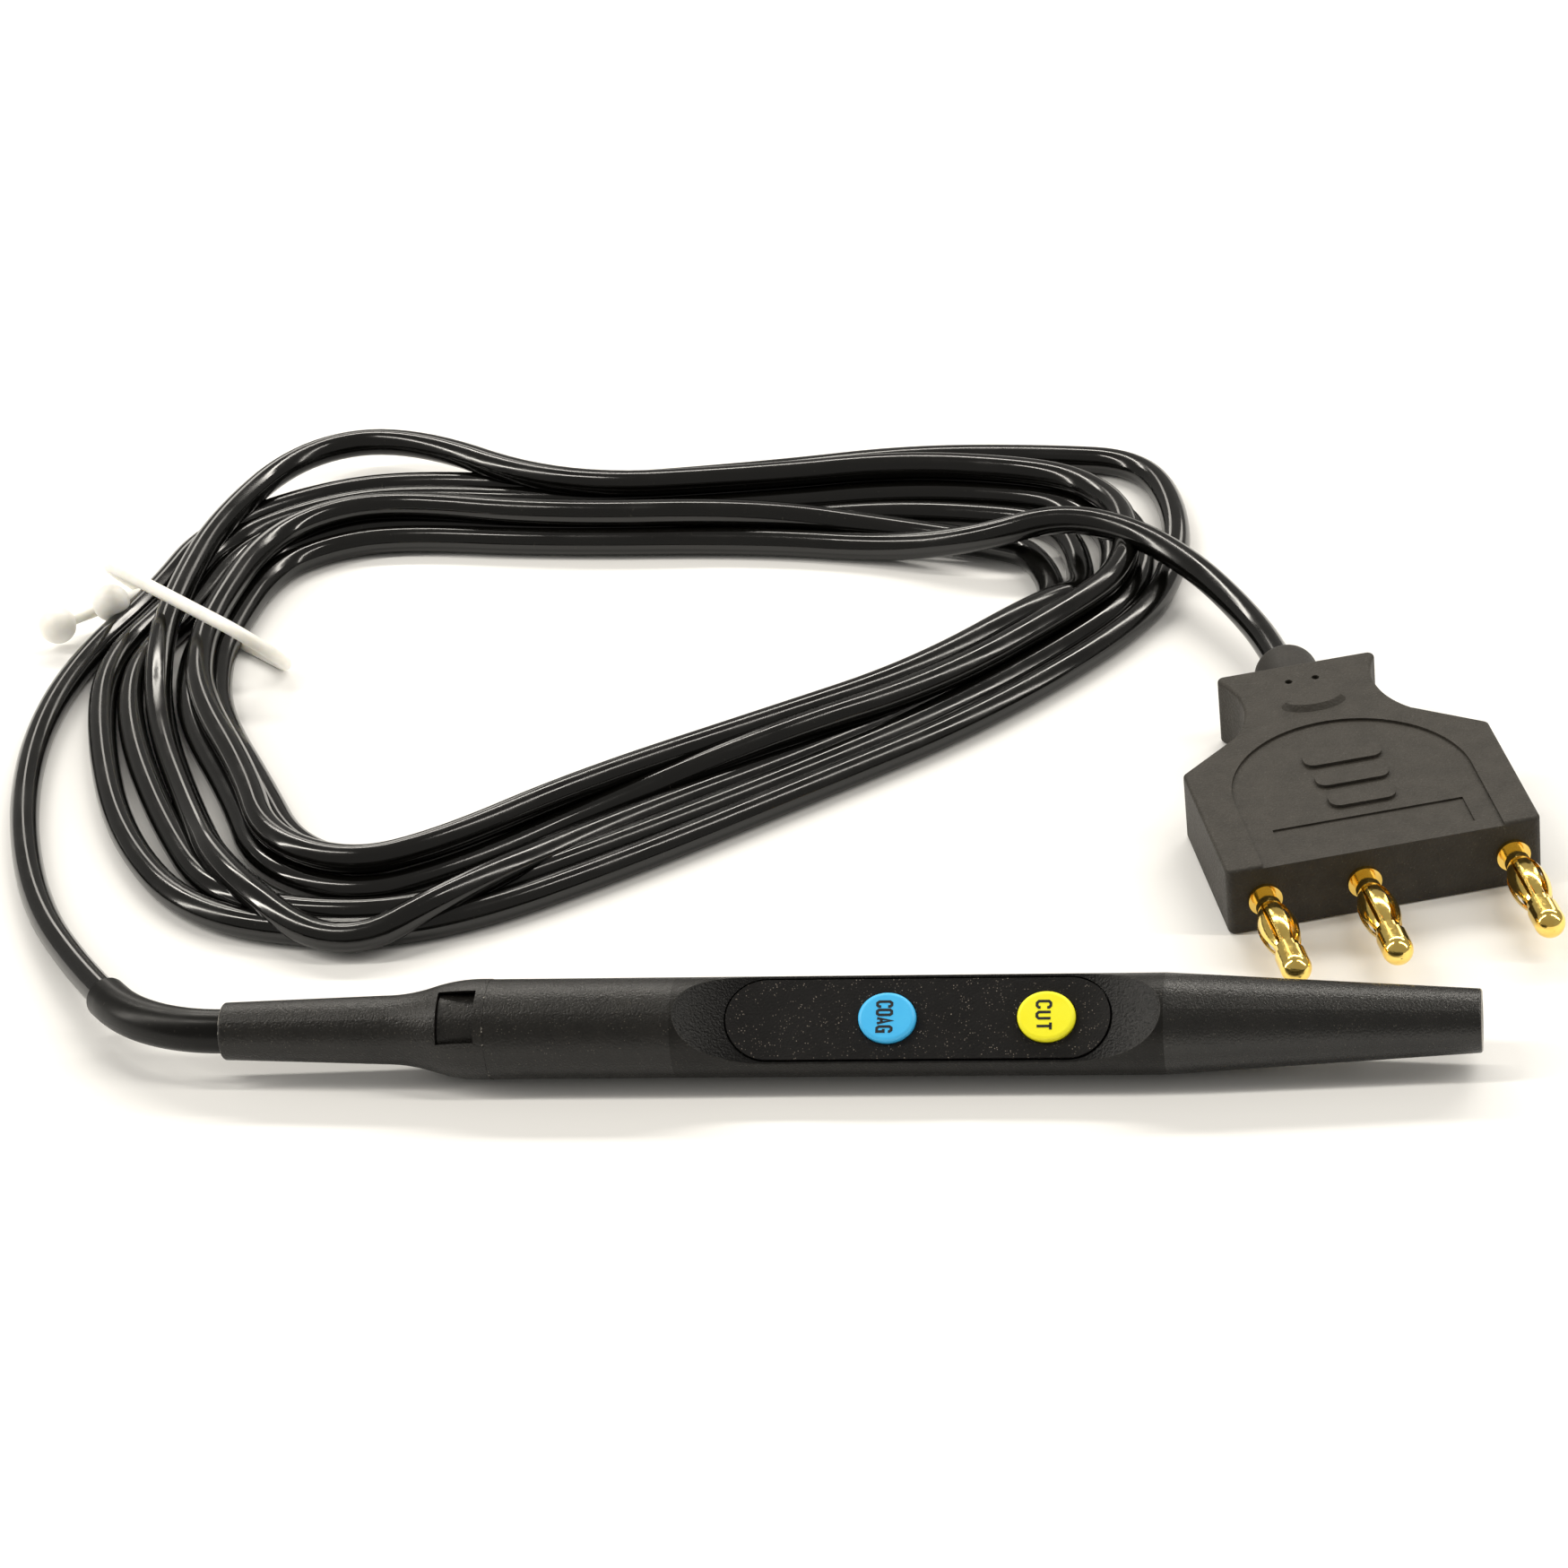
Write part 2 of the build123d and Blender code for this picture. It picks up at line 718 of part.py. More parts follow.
# The tie: a flattened loop round the bundle, leaning towards -Y, and two tails with balls
tie_along = Vector(cos(radians(tie_turn)), sin(radians(tie_turn)), 0)
tie_front = Vector(sin(radians(tie_turn)), -cos(radians(tie_turn)), 0)
tie_up = Vector(0, 0, 1) * cos(radians(tie_lean)) + tie_front * sin(radians(tie_lean))
tie_middle = Vector(tie_x, tie_y, tie_half_height * cos(radians(tie_lean)) + tie_r)
tie_plane = Plane(origin=tie_middle, x_dir=tie_along, z_dir=tie_along.cross(tie_up))
tie_end = tie_half_len - tie_half_height
with BuildLine(tie_plane) as tie_loop:
    Line((0, -tie_half_height), (tie_end, -tie_half_height))
    ThreePointArc(
        (tie_end, -tie_half_height), (tie_half_len, 0), (tie_end, tie_half_height)
    )
    Line((tie_end, tie_half_height), (-tie_end, tie_half_height))
    ThreePointArc(
        (-tie_end, tie_half_height), (-tie_half_len, 0), (-tie_end, -tie_half_height)
    )
    Line((-tie_end, -tie_half_height), (0, -tie_half_height))
tail_root = (
    tie_middle
    + tie_along * (tie_half_height * cos(radians(tie_stem_angle)) - tie_end)
    + tie_up * (tie_half_height * sin(radians(tie_stem_angle)))
)
with BuildPart() as cord_tie:
    add(round_tube(tie_loop.line, tie_r))
    for ball in tie_balls:
        with BuildLine() as stem:
            Line(tail_root, ball)
        add(round_tube(stem.line, tie_stem_dia / 2))
        with Locations(ball):
            Sphere(tie_ball_dia / 2)
cord_tie.part.label = "cord_tie"
export_step(cord_tie.part, "parts/cord_tie.step")

# Outer shape of the tied coil, round all its turns
with BuildPart() as coil_block:
    with BuildSketch(Plane.XY):
        with BuildLine():
            FilletPolyline(
                *coil_outside, radius=corner_radii(coil_outside, closed=True), close=True
            )
        make_face()
        with BuildLine():
            FilletPolyline(
                *coil_inside, radius=corner_radii(coil_inside, closed=True), close=True
            )
        make_face(mode=Mode.SUBTRACT)
    extrude(amount=coil_height)
    fillet(coil_block.faces().filter_by(Plane.XY).edges(), coil_round)

# Tied coil: one solid, with a channel where the tie goes round it
with BuildPart() as cord_coil:
    add(coil_block.part)
    add(round_tube(tie_loop.line, tie_r + tie_clear), mode=Mode.SUBTRACT)
cord_coil.part.label = "cord_coil"
export_step(cord_coil.part, "parts/cord_coil.step")

# Cord lead: from the ferrule, out of the rear sleeve, down to the surface and on to the coil
with BuildLine() as lead_path:
    FilletPolyline(*lead_points, radius=lead_radii)
with BuildPart() as cord_lead:
    add(round_tube(lead_path.line, cord_r))
    add(coil_block.part, mode=Mode.SUBTRACT)
cord_lead.part.label = "cord_lead"
export_step(cord_lead.part, "parts/cord_lead.step")

# The plug's own directions: across it, and from its front face towards the cord
plug_base = Plane(
    origin=(plug_x, plug_y, 0),
    x_dir=(cos(radians(plug_turn)), sin(radians(plug_turn)), 0),
    z_dir=(0, 0, 1),
)
plug_mid = plug_base.offset(plug_thick / 2)
plug_front = Plane(origin=plug_mid.origin, x_dir=plug_base.x_dir, z_dir=-plug_base.y_dir)
plug_back = Vector(*plug_base.y_dir)


def plug_point(back, across=0.0):
    """Point at the plug's mid thickness, by its place behind the front face and across."""
    return plug_mid.from_local_coords(Vector(across, back, 0))


# Cord tail: from the coil to the plug, ending inside the boot
lane_pitch = wire_dia + conductor_gap
boot_end = plug_len + boot_len
tail_points = [Vector(*point) for point in tail_route] + [
    plug_point(boot_end + tail_corner_past_boot),
    plug_point(boot_end - tail_end_in_boot),
]
tail_radii = corner_radii([tuple(point) for point in tail_points])
with BuildLine() as tail_path:
    FilletPolyline(*tail_points, radius=tail_radii)
with BuildPart() as cord_tail:
    add(round_tube(tail_path.line, cord_r))
    add(coil_block.part, mode=Mode.SUBTRACT)
cord_tail.part.label = "cord_tail"
export_step(cord_tail.part, "parts/cord_tail.step")

# Grommet: dome outside, plug inside the body, bored for the cord and for its conductors
boot_plane = Plane(origin=plug_point(plug_len), x_dir=-plug_base.x_dir, z_dir=plug_back)
with BuildPart() as plug_boot:
    with BuildSketch(boot_plane.offset(seat_clear)):
        Circle(boot_dia / 2)
    extrude(amount=boot_len - seat_clear)
    boot_axis = Axis(boot_plane.origin, plug_back)
    fillet(plug_boot.faces().sort_by(boot_axis)[-1].edges(), boot_round)
    with BuildSketch(boot_plane.offset(seat_clear)):
        Circle(boot_plug_dia / 2)
    extrude(amount=-boot_plug_len)
    with BuildSketch(boot_plane.offset(boot_len - tail_end_in_boot)):
        Circle(cord_r + seat_clear)
    extrude(amount=boot_len, mode=Mode.SUBTRACT)
    with BuildSketch(boot_plane.offset(boot_len - tail_end_in_boot)):
        Circle(lane_pitch + wire_r + seat_clear)
    extrude(amount=-boot_len, mode=Mode.SUBTRACT)
plug_boot.part.label = "plug_boot"
export_step(plug_boot.part, "parts/plug_boot.step")

# Pin row: the middle pin is nearer the left one
pin_left = pin_row_shift - (pin_pitch_near + pin_pitch_far) / 2
pin_spots = {
    "left": pin_left,
    "middle": pin_left + pin_pitch_near,
    "right": pin_left + pin_pitch_near + pin_pitch_far,
}
pin_places = [(across, 0) for across in pin_spots.values()]

# Chamber in the plug: the insert's pocket, then a funnel for the conductors to the boot
insert_x = plug_wall
insert_back = insert_x + insert_len
boot_seat = plug_len - boot_plug_len
with BuildPart() as plug_chamber:
    with BuildSketch(plug_mid):
        with BuildLine():
            Polyline(
                (-insert_width / 2, insert_x),
                (insert_width / 2, insert_x),
                (insert_width / 2, funnel_from_front),
                (boot_plug_dia / 2, boot_seat),
                (-boot_plug_dia / 2, boot_seat),
                (-insert_width / 2, funnel_from_front),
                close=True,
            )
        make_face()
    extrude(amount=insert_height / 2, both=True)

# Plug body: flat moulding with scooped neck, recessed arch, three ribs, label recess and bump
plug_top = plug_base.offset(plug_thick)
arch_floor = plug_base.offset(plug_thick - arch_depth)
arch_r = arch_width / 2
side_end = plug_len - plug_side_from_back
shoulder = plug_len - plug_shoulder_from_back
waist = plug_len - plug_waist_from_back
arch_len = shoulder - arch_r
with BuildPart() as plug_body:
    with BuildSketch(plug_base):
        with BuildLine():
            Polyline(
                (0, plug_len),
                (0, 0),
                (plug_width / 2, 0),
                (plug_width / 2, side_end),
                (plug_shoulder_width / 2, shoulder),
            )
            ThreePointArc(
                (plug_shoulder_width / 2, shoulder),
                (plug_waist_width / 2, waist),
                (plug_neck_width / 2, plug_len),
            )
            Line((plug_neck_width / 2, plug_len), (0, plug_len))
        make_face()
        mirror(about=Plane.YZ)
    extrude(amount=plug_thick)
    upright = plug_body.edges().filter_by(Axis.Z)
    fillet(upright, plug_corner_round)
    fillet(plug_body.faces().filter_by(Plane.XY).edges(), plug_edge_round)
    with BuildSketch(arch_floor):
        with Locations((0, 0)):
            Rectangle(arch_width, arch_len, align=(Align.CENTER, Align.MIN))
        with Locations((0, arch_len)):
            Circle(arch_r)
        with Locations((0, 0)):
            Rectangle(arch_width, arch_r, align=(Align.CENTER, Align.MAX), mode=Mode.SUBTRACT)
    extrude(amount=plug_thick, mode=Mode.SUBTRACT)
    with BuildSketch(arch_floor):
        for number, rib_width in enumerate(rib_widths):
            with Locations((rib_side_shift, rib_first + number * rib_pitch + rib_len / 2)):
                RectangleRounded(rib_width, rib_len, rib_corner)
    extrude(amount=rib_rise)
    with BuildSketch(arch_floor.offset(-label_depth)):
        with Locations((0, label_from_front)):
            Rectangle(label_width, label_len, align=(Align.CENTER, Align.MIN))
    extrude(amount=plug_thick, mode=Mode.SUBTRACT)
    with BuildSketch(plug_top.offset(-pinhole_depth)):
        with Locations((0, plug_len - pinhole_from_back)):
            with GridLocations(pinhole_pitch, 1, 2, 1):
                Circle(pinhole_dia / 2)
    extrude(amount=plug_thick, mode=Mode.SUBTRACT)
    with BuildSketch(plug_top.offset(-bump_rise)):
        with Locations((0, plug_len - bump_from_back)):
            Ellipse(bump_width / 2, bump_len / 2)
    extrude(amount=2 * bump_rise, taper=45)
    add(plug_chamber.part, mode=Mode.SUBTRACT)
    with BuildSketch(boot_plane):
        Circle(boot_plug_dia / 2 + seat_clear)
    extrude(amount=-boot_plug_len - seat_clear, mode=Mode.SUBTRACT)
    with BuildSketch(plug_front):
        with Locations(*pin_places):
            Circle(pin_tail_dia / 2 + seat_clear)
    extrude(amount=-insert_back, mode=Mode.SUBTRACT)
plug_body.part.label = "plug_body"
export_step(plug_body.part, "parts/plug_body.step")

# Stiff carrier that holds the pins' tails
with BuildPart() as plug_insert:
    with BuildSketch(plug_mid):
        with Locations((0, insert_x + seat_clear)):
            Rectangle(
                insert_width - 2 * seat_clear,
                insert_len - 2 * seat_clear,
                align=(Align.CENTER, Align.MIN),
            )
    extrude(amount=insert_height / 2 - seat_clear, both=True)
    with BuildSketch(plug_front):
        with Locations(*pin_places):
            Circle(pin_tail_dia / 2 + seat_clear)
    extrude(amount=-plug_len, mode=Mode.SUBTRACT)
plug_insert.part.label = "plug_insert"
export_step(plug_insert.part, "parts/plug_insert.step")

# Pins: turned core with a ball end, and a bulging cage of sprung leaves round its shaft
shaft_r = pin_shaft_dia / 2
tip_r = pin_tip_dia / 2
tip_x0 = pin_len - pin_tip_len
cage_x1 = pin_collar_len + pin_neck_len + seat_clear
cage_x2 = tip_x0 - seat_clear
cage_in_r = shaft_r + seat_clear
cage_out_r = cage_in_r + cage_thick
leaf_x1 = cage_x1 + cage_rear_len
leaf_x2 = cage_x2 - cage_front_len
bulge_x = (leaf_x1 + leaf_x2) / 2
bulge_r = cage_bulge_dia / 2
for pin_name, across in pin_spots.items():
    pin_root = plug_point(0, across)
    pin_plane = Plane(origin=pin_root, x_dir=-plug_back, z_dir=(0, 0, 1))
    pin_axis = Axis(pin_root, -plug_back)
    pin_end = Plane(origin=pin_root, x_dir=plug_base.x_dir, z_dir=-plug_back)
    with BuildPart() as pin:
        with BuildSketch(pin_plane):
            with BuildLine():
                Polyline(
                    (pin_len, 0),
                    (-pin_tail_len, 0),
                    (-pin_tail_len, pin_tail_dia / 2),
                    (0, pin_tail_dia / 2),
                    (0, pin_collar_dia / 2),
                    (pin_collar_len, pin_collar_dia / 2),
                    (pin_collar_len, pin_neck_dia / 2),
                    (pin_collar_len + pin_neck_len, pin_neck_dia / 2),
                    (pin_collar_len + pin_neck_len, shaft_r),
                    (tip_x0, shaft_r),
                    (tip_x0, tip_r),
                    (pin_len - tip_r, tip_r),
                )
                RadiusArc((pin_len - tip_r, tip_r), (pin_len, 0), tip_r)
            make_face()
        revolve(axis=pin_axis)
    pin.part.label = "pin_" + pin_name
    export_step(pin.part, "parts/pin_" + pin_name + ".step")

    with BuildPart() as cage:
        with BuildSketch(pin_plane):
            with BuildLine():
                Polyline((leaf_x1, cage_in_r), (cage_x1, cage_in_r), (cage_x1, cage_out_r))
                Line((cage_x1, cage_out_r), (leaf_x1, cage_out_r))
                ThreePointArc(
                    (leaf_x1, cage_out_r), (bulge_x, bulge_r), (leaf_x2, cage_out_r)
                )
                Polyline(
                    (leaf_x2, cage_out_r),
                    (cage_x2, cage_out_r),
                    (cage_x2, cage_in_r),
                    (leaf_x2, cage_in_r),
                )
                ThreePointArc(
                    (leaf_x2, cage_in_r),
                    (bulge_x, bulge_r - cage_thick),
                    (leaf_x1, cage_in_r),
                )
            make_face()
        revolve(axis=pin_axis)
        with BuildSketch(pin_end.offset(leaf_x1)):
            with PolarLocations(bulge_r / 2, cage_leaves):
                Rectangle(bulge_r + cage_thick, cage_slot)
        extrude(amount=leaf_x2 - leaf_x1, mode=Mode.SUBTRACT)
    cage.part.label = "pin_" + pin_name + "_spring"
    export_step(cage.part, "parts/pin_" + pin_name + "_spring.step")

# Conductors in the plug, from the cord's end to the pins' tails
cord_stop = boot_end - tail_end_in_boot
for number, (pin_name, across) in enumerate(pin_spots.items()):
    lane = (number - 1) * lane_pitch
    write_wire(
        "plug_" + pin_name + "_wire",
        [
            plug_point(cord_stop, lane),
            plug_point(boot_seat - wire_bend, lane),
            plug_point(funnel_from_front, across),
            plug_point(pin_tail_len, across),
        ],
    )

# The cord's tubes: bend radii, and volume against section times length before trimming
for name, path, radii in (
    ("lead", lead_path.line, lead_radii),
    ("tail", tail_path.line, tail_radii),
):
    length = sum(edge.length for edge in path.edges())
    print(name, "length", round(length, 1), "radii", [round(radius, 1) for radius in radii])
    print(name, "volume", round(round_tube(path, cord_r).volume, 2), end=" ")
    print("of", round(pi * cord_r**2 * length, 2))
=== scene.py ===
"""Hand-switching electrosurgical pencil with its tied cord and three-pin plug, dressed and lit."""

from __future__ import annotations

import logging
import math
from dataclasses import dataclass, field
from enum import Enum

import bpy
from mathutils import Matrix, Vector


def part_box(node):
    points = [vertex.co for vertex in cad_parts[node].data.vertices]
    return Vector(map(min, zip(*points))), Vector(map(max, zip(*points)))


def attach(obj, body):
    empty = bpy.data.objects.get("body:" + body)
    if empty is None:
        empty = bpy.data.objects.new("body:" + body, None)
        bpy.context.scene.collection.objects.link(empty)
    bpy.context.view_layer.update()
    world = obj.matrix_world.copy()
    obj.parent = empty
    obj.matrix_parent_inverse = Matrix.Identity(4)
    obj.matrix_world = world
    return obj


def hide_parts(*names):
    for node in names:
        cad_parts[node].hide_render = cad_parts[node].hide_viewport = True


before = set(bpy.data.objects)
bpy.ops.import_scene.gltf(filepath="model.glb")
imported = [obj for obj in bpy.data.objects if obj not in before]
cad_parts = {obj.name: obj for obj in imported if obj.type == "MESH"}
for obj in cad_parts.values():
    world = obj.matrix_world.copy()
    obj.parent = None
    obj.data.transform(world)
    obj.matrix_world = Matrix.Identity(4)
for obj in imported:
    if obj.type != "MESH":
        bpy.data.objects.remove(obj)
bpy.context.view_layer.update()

log = logging.getLogger("scene")

MM = 0.001

Point = tuple[float, float, float]
Colour = tuple[float, float, float]
Range = tuple[float, float]

# The height of the pencil's axis, its two ends and its rear seam, in millimetres.
# It lies on the floor, so its barrel's radius is the axis's height too.
AXIS_HEIGHT = 6.16
REAR_END = -76.9
REAR_SEAM = -42.9
NOSE_END = 76.9

# Nearly all of a noise's values lie in the first range, and most of them in the second.
NOISE_WHOLE: Range = (0.3, 0.7)
NOISE_MIDDLE: Range = (0.35, 0.65)

# The mix node's sockets for colours. It has others with the same names, so they go by number.
MIX_INPUTS = (0, 6, 7)
MIX_OUTPUT = 2

# The dark shells' plastic.
CHARCOAL: Colour = (0.0075, 0.007, 0.006)
CHARCOAL_MOTTLE: Colour = (0.0115, 0.0105, 0.009)
CHARCOAL_FLECK: Colour = (0.16, 0.145, 0.12)


class Graph:
    """A material's shader nodes, with short calls that add and join them."""

    def __init__(self, name: str) -> None:
        """Start an empty material with a principled shader.

        Args:
            name: the material's name.
        """
        self.material = bpy.data.materials.new(name)
        self.material.use_nodes = True
        self.nodes = self.material.node_tree.nodes
        self.links = self.material.node_tree.links
        self.nodes.clear()
        output = self.nodes.new("ShaderNodeOutputMaterial")
        self.shader = self.nodes.new("ShaderNodeBsdfPrincipled")
        self.links.new(self.shader.outputs["BSDF"], output.inputs["Surface"])
        self.place = self.nodes.new("ShaderNodeTexCoord").outputs["Object"]

    def noise(
        self, size_mm: float, detail: float = 2.0, stretch: Point = (1, 1, 1)
    ) -> bpy.types.NodeSocket:
        """Add cloudy noise in the row frame.

        Args:
            size_mm: the size of its grains.
            detail: how many finer layers it has.
            stretch: how much longer its grains are along each axis.

        Returns:
            The noise's value socket, from about 0.3 to 0.7.
        """
        mapping = self.nodes.new("ShaderNodeMapping")
        mapping.inputs["Scale"].default_value = [1 / s for s in stretch]
        self.links.new(self.place, mapping.inputs["Vector"])
        noise = self.nodes.new("ShaderNodeTexNoise")
        noise.inputs["Scale"].default_value = 1 / (size_mm * MM)
        noise.inputs["Detail"].default_value = detail
        self.links.new(mapping.outputs["Vector"], noise.inputs["Vector"])
        return noise.outputs["Fac"]

    def cells(self, size_mm: float) -> bpy.types.NodeSocket:
        """Add the distance to scattered points.

        Args:
            size_mm: the points' spacing.

        Returns:
            The distance socket, 0 at a point.
        """
        cells = self.nodes.new("ShaderNodeTexVoronoi")
        cells.inputs["Scale"].default_value = 1 / (size_mm * MM)
        self.links.new(self.place, cells.inputs["Vector"])
        return cells.outputs["Distance"]

    def spread(
        self, value: bpy.types.NodeSocket, low: float, high: float, to_low: float, to_high: float
    ) -> bpy.types.NodeSocket:
        """Map a value from one range to another, and clamp it there.

        Args:
            value: the socket to map.
            low: the value that gives to_low.
            high: the value that gives to_high.
            to_low: the result at low.
            to_high: the result at high.

        Returns:
            The mapped value's socket.
        """
        node = self.nodes.new("ShaderNodeMapRange")
        ends = {"From Min": low, "From Max": high, "To Min": to_low, "To Max": to_high}
        for name, number in ends.items():
            node.inputs[name].default_value = number
        self.links.new(value, node.inputs["Value"])
        return node.outputs["Result"]

    def reckon(self, operation: str, *values: bpy.types.NodeSocket | float) -> bpy.types.NodeSocket:
        """Work out a value from others.

        Args:
            operation: the name of the sum, as the math node has it.
            values: its terms, each a socket or a number.

        Returns:
            The result's socket.
        """
        node = self.nodes.new("ShaderNodeMath")
        node.operation = operation
        for term, value in zip(node.inputs, values):
            if isinstance(value, (int, float)):
                term.default_value = value
            else:
                self.links.new(value, term)
        return node.outputs["Value"]

    def axes(self) -> tuple[bpy.types.NodeSocket, bpy.types.NodeSocket, bpy.types.NodeSocket]:
        """Split the place into its parts.

        Returns:
            The sockets of its X, Y and Z in the row frame, in metres.
        """
        split = self.nodes.new("ShaderNodeSeparateXYZ")
        self.links.new(self.place, split.inputs["Vector"])
        return split.outputs["X"], split.outputs["Y"], split.outputs["Z"]

    def blend(
        self, amount: bpy.types.NodeSocket, under: bpy.types.NodeSocket | Colour, over: Colour
    ) -> bpy.types.NodeSocket:
        """Lay one colour over another by an amount.

        Args:
            amount: how much of the upper colour shows, from 0 to 1.
            under: the lower colour, or the socket that gives it.
            over: the upper colour.

        Returns:
            The mixed colour's socket.
        """
        node = self.nodes.new("ShaderNodeMix")
        node.data_type = "RGBA"
        factor, first, second = (node.inputs[i] for i in MIX_INPUTS)
        self.links.new(amount, factor)
        if isinstance(under, tuple):
            first.default_value = (*under, 1)
        else:
            self.links.new(under, first)
        second.default_value = (*over, 1)
        return node.outputs[MIX_OUTPUT]

    def bump(self, height: bpy.types.NodeSocket, depth_mm: float, strength: float = 1.0) -> None:
        """Roughen the surface by a height, on top of what it has already.

        Args:
            height: the height's socket.
            depth_mm: the depth that a height of 1 stands for.
            strength: how much of the bump shows.
        """
        node = self.nodes.new("ShaderNodeBump")
        node.inputs["Distance"].default_value = depth_mm * MM
        node.inputs["Strength"].default_value = strength
        self.links.new(height, node.inputs["Height"])
        normal = self.shader.inputs["Normal"]
        if normal.links:
            self.links.new(normal.links[0].from_socket, node.inputs["Normal"])
        self.links.new(node.outputs["Normal"], normal)

    def feed(self, name: str, value: bpy.types.NodeSocket) -> None:
        """Join a socket to the shader's input of that name."""
        self.links.new(value, self.shader.inputs[name])

    def fix(self, **numbers: float | tuple[float, ...]) -> None:
        """Set constant shader inputs, named with underscores for spaces."""
        for name, number in numbers.items():
            self.shader.inputs[name.replace("_", " ")].default_value = number


@dataclass(frozen=True)
class MouldedFinish:
    """Rigid moulded plastic with a spark-eroded grain, a soft mottle and small light flecks.

    Where a flat shade colour is given, what lies nearer to the pencil's axis than its skin is painted
    that colour, as painted shade on the sunken flat round the keypad.
    Each ring entry is a patchy ring painted lighter round the pencil: its x, its width and the share
    lightened. The ring at the nose's mouth is a painted highlight, the glint on its edge.
    """

    name: str
    colour: Colour
    mottle: Colour
    fleck: Colour
    roughness: float
    grain_mm: float
    grain_depth_mm: float
    fleck_mm: float = 0.5
    fleck_size: float = 0.16
    fleck_strength: float = 0.0
    specular: float = 0.5
    panel: Colour | None = None
    barrel_radius_mm: float = AXIS_HEIGHT
    axis_height_mm: float = AXIS_HEIGHT
    panel_edge: Range = (0.965, 0.985)
    worn: tuple[tuple[float, float, float], ...] = ()
    wear: Colour = (0.3, 0.28, 0.25)
    wear_patch_mm: float = 0.9
    wear_range: Range = (0.66, 0.7)
    mottle_mm: float = 3.0
    patch_mm: float = 1.1
    patch_range: Range = (0.45, 0.62)
    detail: float = 3.0
    swing: float = 0.07

    def shade_panel(self, graph: Graph, colour: bpy.types.NodeSocket) -> bpy.types.NodeSocket:
        """Paint shade on what lies nearer to the pencil's axis than the barrel's skin: the sunken flat
        round the keypad.

        Args:
            graph: the material's nodes.
            colour: the colour so far.

        Returns:
            The colour's socket.
        """
        _, y, z = graph.axes()
        rise = graph.reckon("SUBTRACT", z, self.axis_height_mm * MM)
        squares = [graph.reckon("MULTIPLY", side, side) for side in (y, rise)]
        away = graph.reckon("SQRT", graph.reckon("ADD", *squares))
        skin = self.barrel_radius_mm * MM
        inner, outer = (skin * share for share in self.panel_edge)
        return graph.blend(graph.spread(away, inner, outer, 1, 0), colour, self.panel)

    def rub_edges(self, graph: Graph, colour: bpy.types.NodeSocket) -> bpy.types.NodeSocket:
        """Paint patchy lighter rings round the pencil; the ring at the nose's mouth is a painted
        highlight.

        Args:
            graph: the material's nodes.
            colour: the colour so far.

        Returns:
            The colour's socket.
        """
        along, _, _ = graph.axes()
        low, high = self.wear_range
        for place, width, share in self.worn:
            away = graph.reckon("ABSOLUTE", graph.reckon("SUBTRACT", along, place * MM))
            ring = graph.spread(away, width / 2 * MM, width * MM, 1, 0)
            patches = graph.noise(self.wear_patch_mm, self.detail)
            patchy = graph.spread(patches, low - share, high - share, 0, 1)
            colour = graph.blend(graph.reckon("MULTIPLY", ring, patchy), colour, self.wear)
        return colour

    def material(self) -> bpy.types.Material:
        """Build the finish's material.

        Returns:
            The material.
        """
        graph = Graph(self.name)
        soft = graph.spread(graph.noise(self.mottle_mm, self.detail), *NOISE_MIDDLE, 0, 1)
        colour = graph.blend(soft, self.colour, self.mottle)
        if self.fleck_strength:
            dots = graph.spread(graph.cells(self.fleck_mm), self.fleck_size / 2, self.fleck_size, 1, 0)
            patches = graph.spread(graph.noise(self.patch_mm), *self.patch_range, 0, self.fleck_strength)
            colour = graph.blend(graph.reckon("MULTIPLY", dots, patches), colour, self.fleck)
        if self.panel:
            colour = self.shade_panel(graph, colour)
        if self.worn:
            colour = self.rub_edges(graph, colour)
        graph.feed("Base Color", colour)
        grain = graph.noise(self.grain_mm, self.detail)
        low, high = self.roughness - self.swing, self.roughness + self.swing
        graph.feed("Roughness", graph.spread(grain, *NOISE_WHOLE, low, high))
        graph.bump(grain, self.grain_depth_mm)
        graph.fix(Specular_IOR_Level=self.specular)
        return graph.material


@dataclass(frozen=True)
class GlossFinish:
    """Soft glossy plastic, as extruded, with a faint ripple, dull patches and fine scuffs."""

    name: str
    colour: Colour
    roughness: float
    ripple_mm: float
    ripple_depth_mm: float
    scuff: Colour
    specular: float = 0.5
    scuff_mm: float = 0.5
    scuff_detail: float = 4.0
    scuff_stretch: Point = (1, 1, 3)
    scuff_range: Range = (0.68, 0.78)
    scuff_strength: float = 0.5
    dull_mm: float = 6.0
    dull_detail: float = 3.0
    ripple_detail: float = 1.0
    swing: Range = (-0.04, 0.06)

    def material(self) -> bpy.types.Material:
        """Build the finish's material.

        Returns:
            The material.
        """
        graph = Graph(self.name)
        streaks = graph.noise(self.scuff_mm, self.scuff_detail, self.scuff_stretch)
        scuffs = graph.spread(streaks, *self.scuff_range, 0, self.scuff_strength)
        graph.feed("Base Color", graph.blend(scuffs, self.colour, self.scuff))
        dull = graph.noise(self.dull_mm, self.dull_detail)
        low, high = (self.roughness + change for change in self.swing)
        graph.feed("Roughness", graph.spread(dull, *NOISE_MIDDLE, low, high))
        graph.bump(graph.noise(self.ripple_mm, self.ripple_detail), self.ripple_depth_mm)
        graph.fix(Specular_IOR_Level=self.specular)
        return graph.material


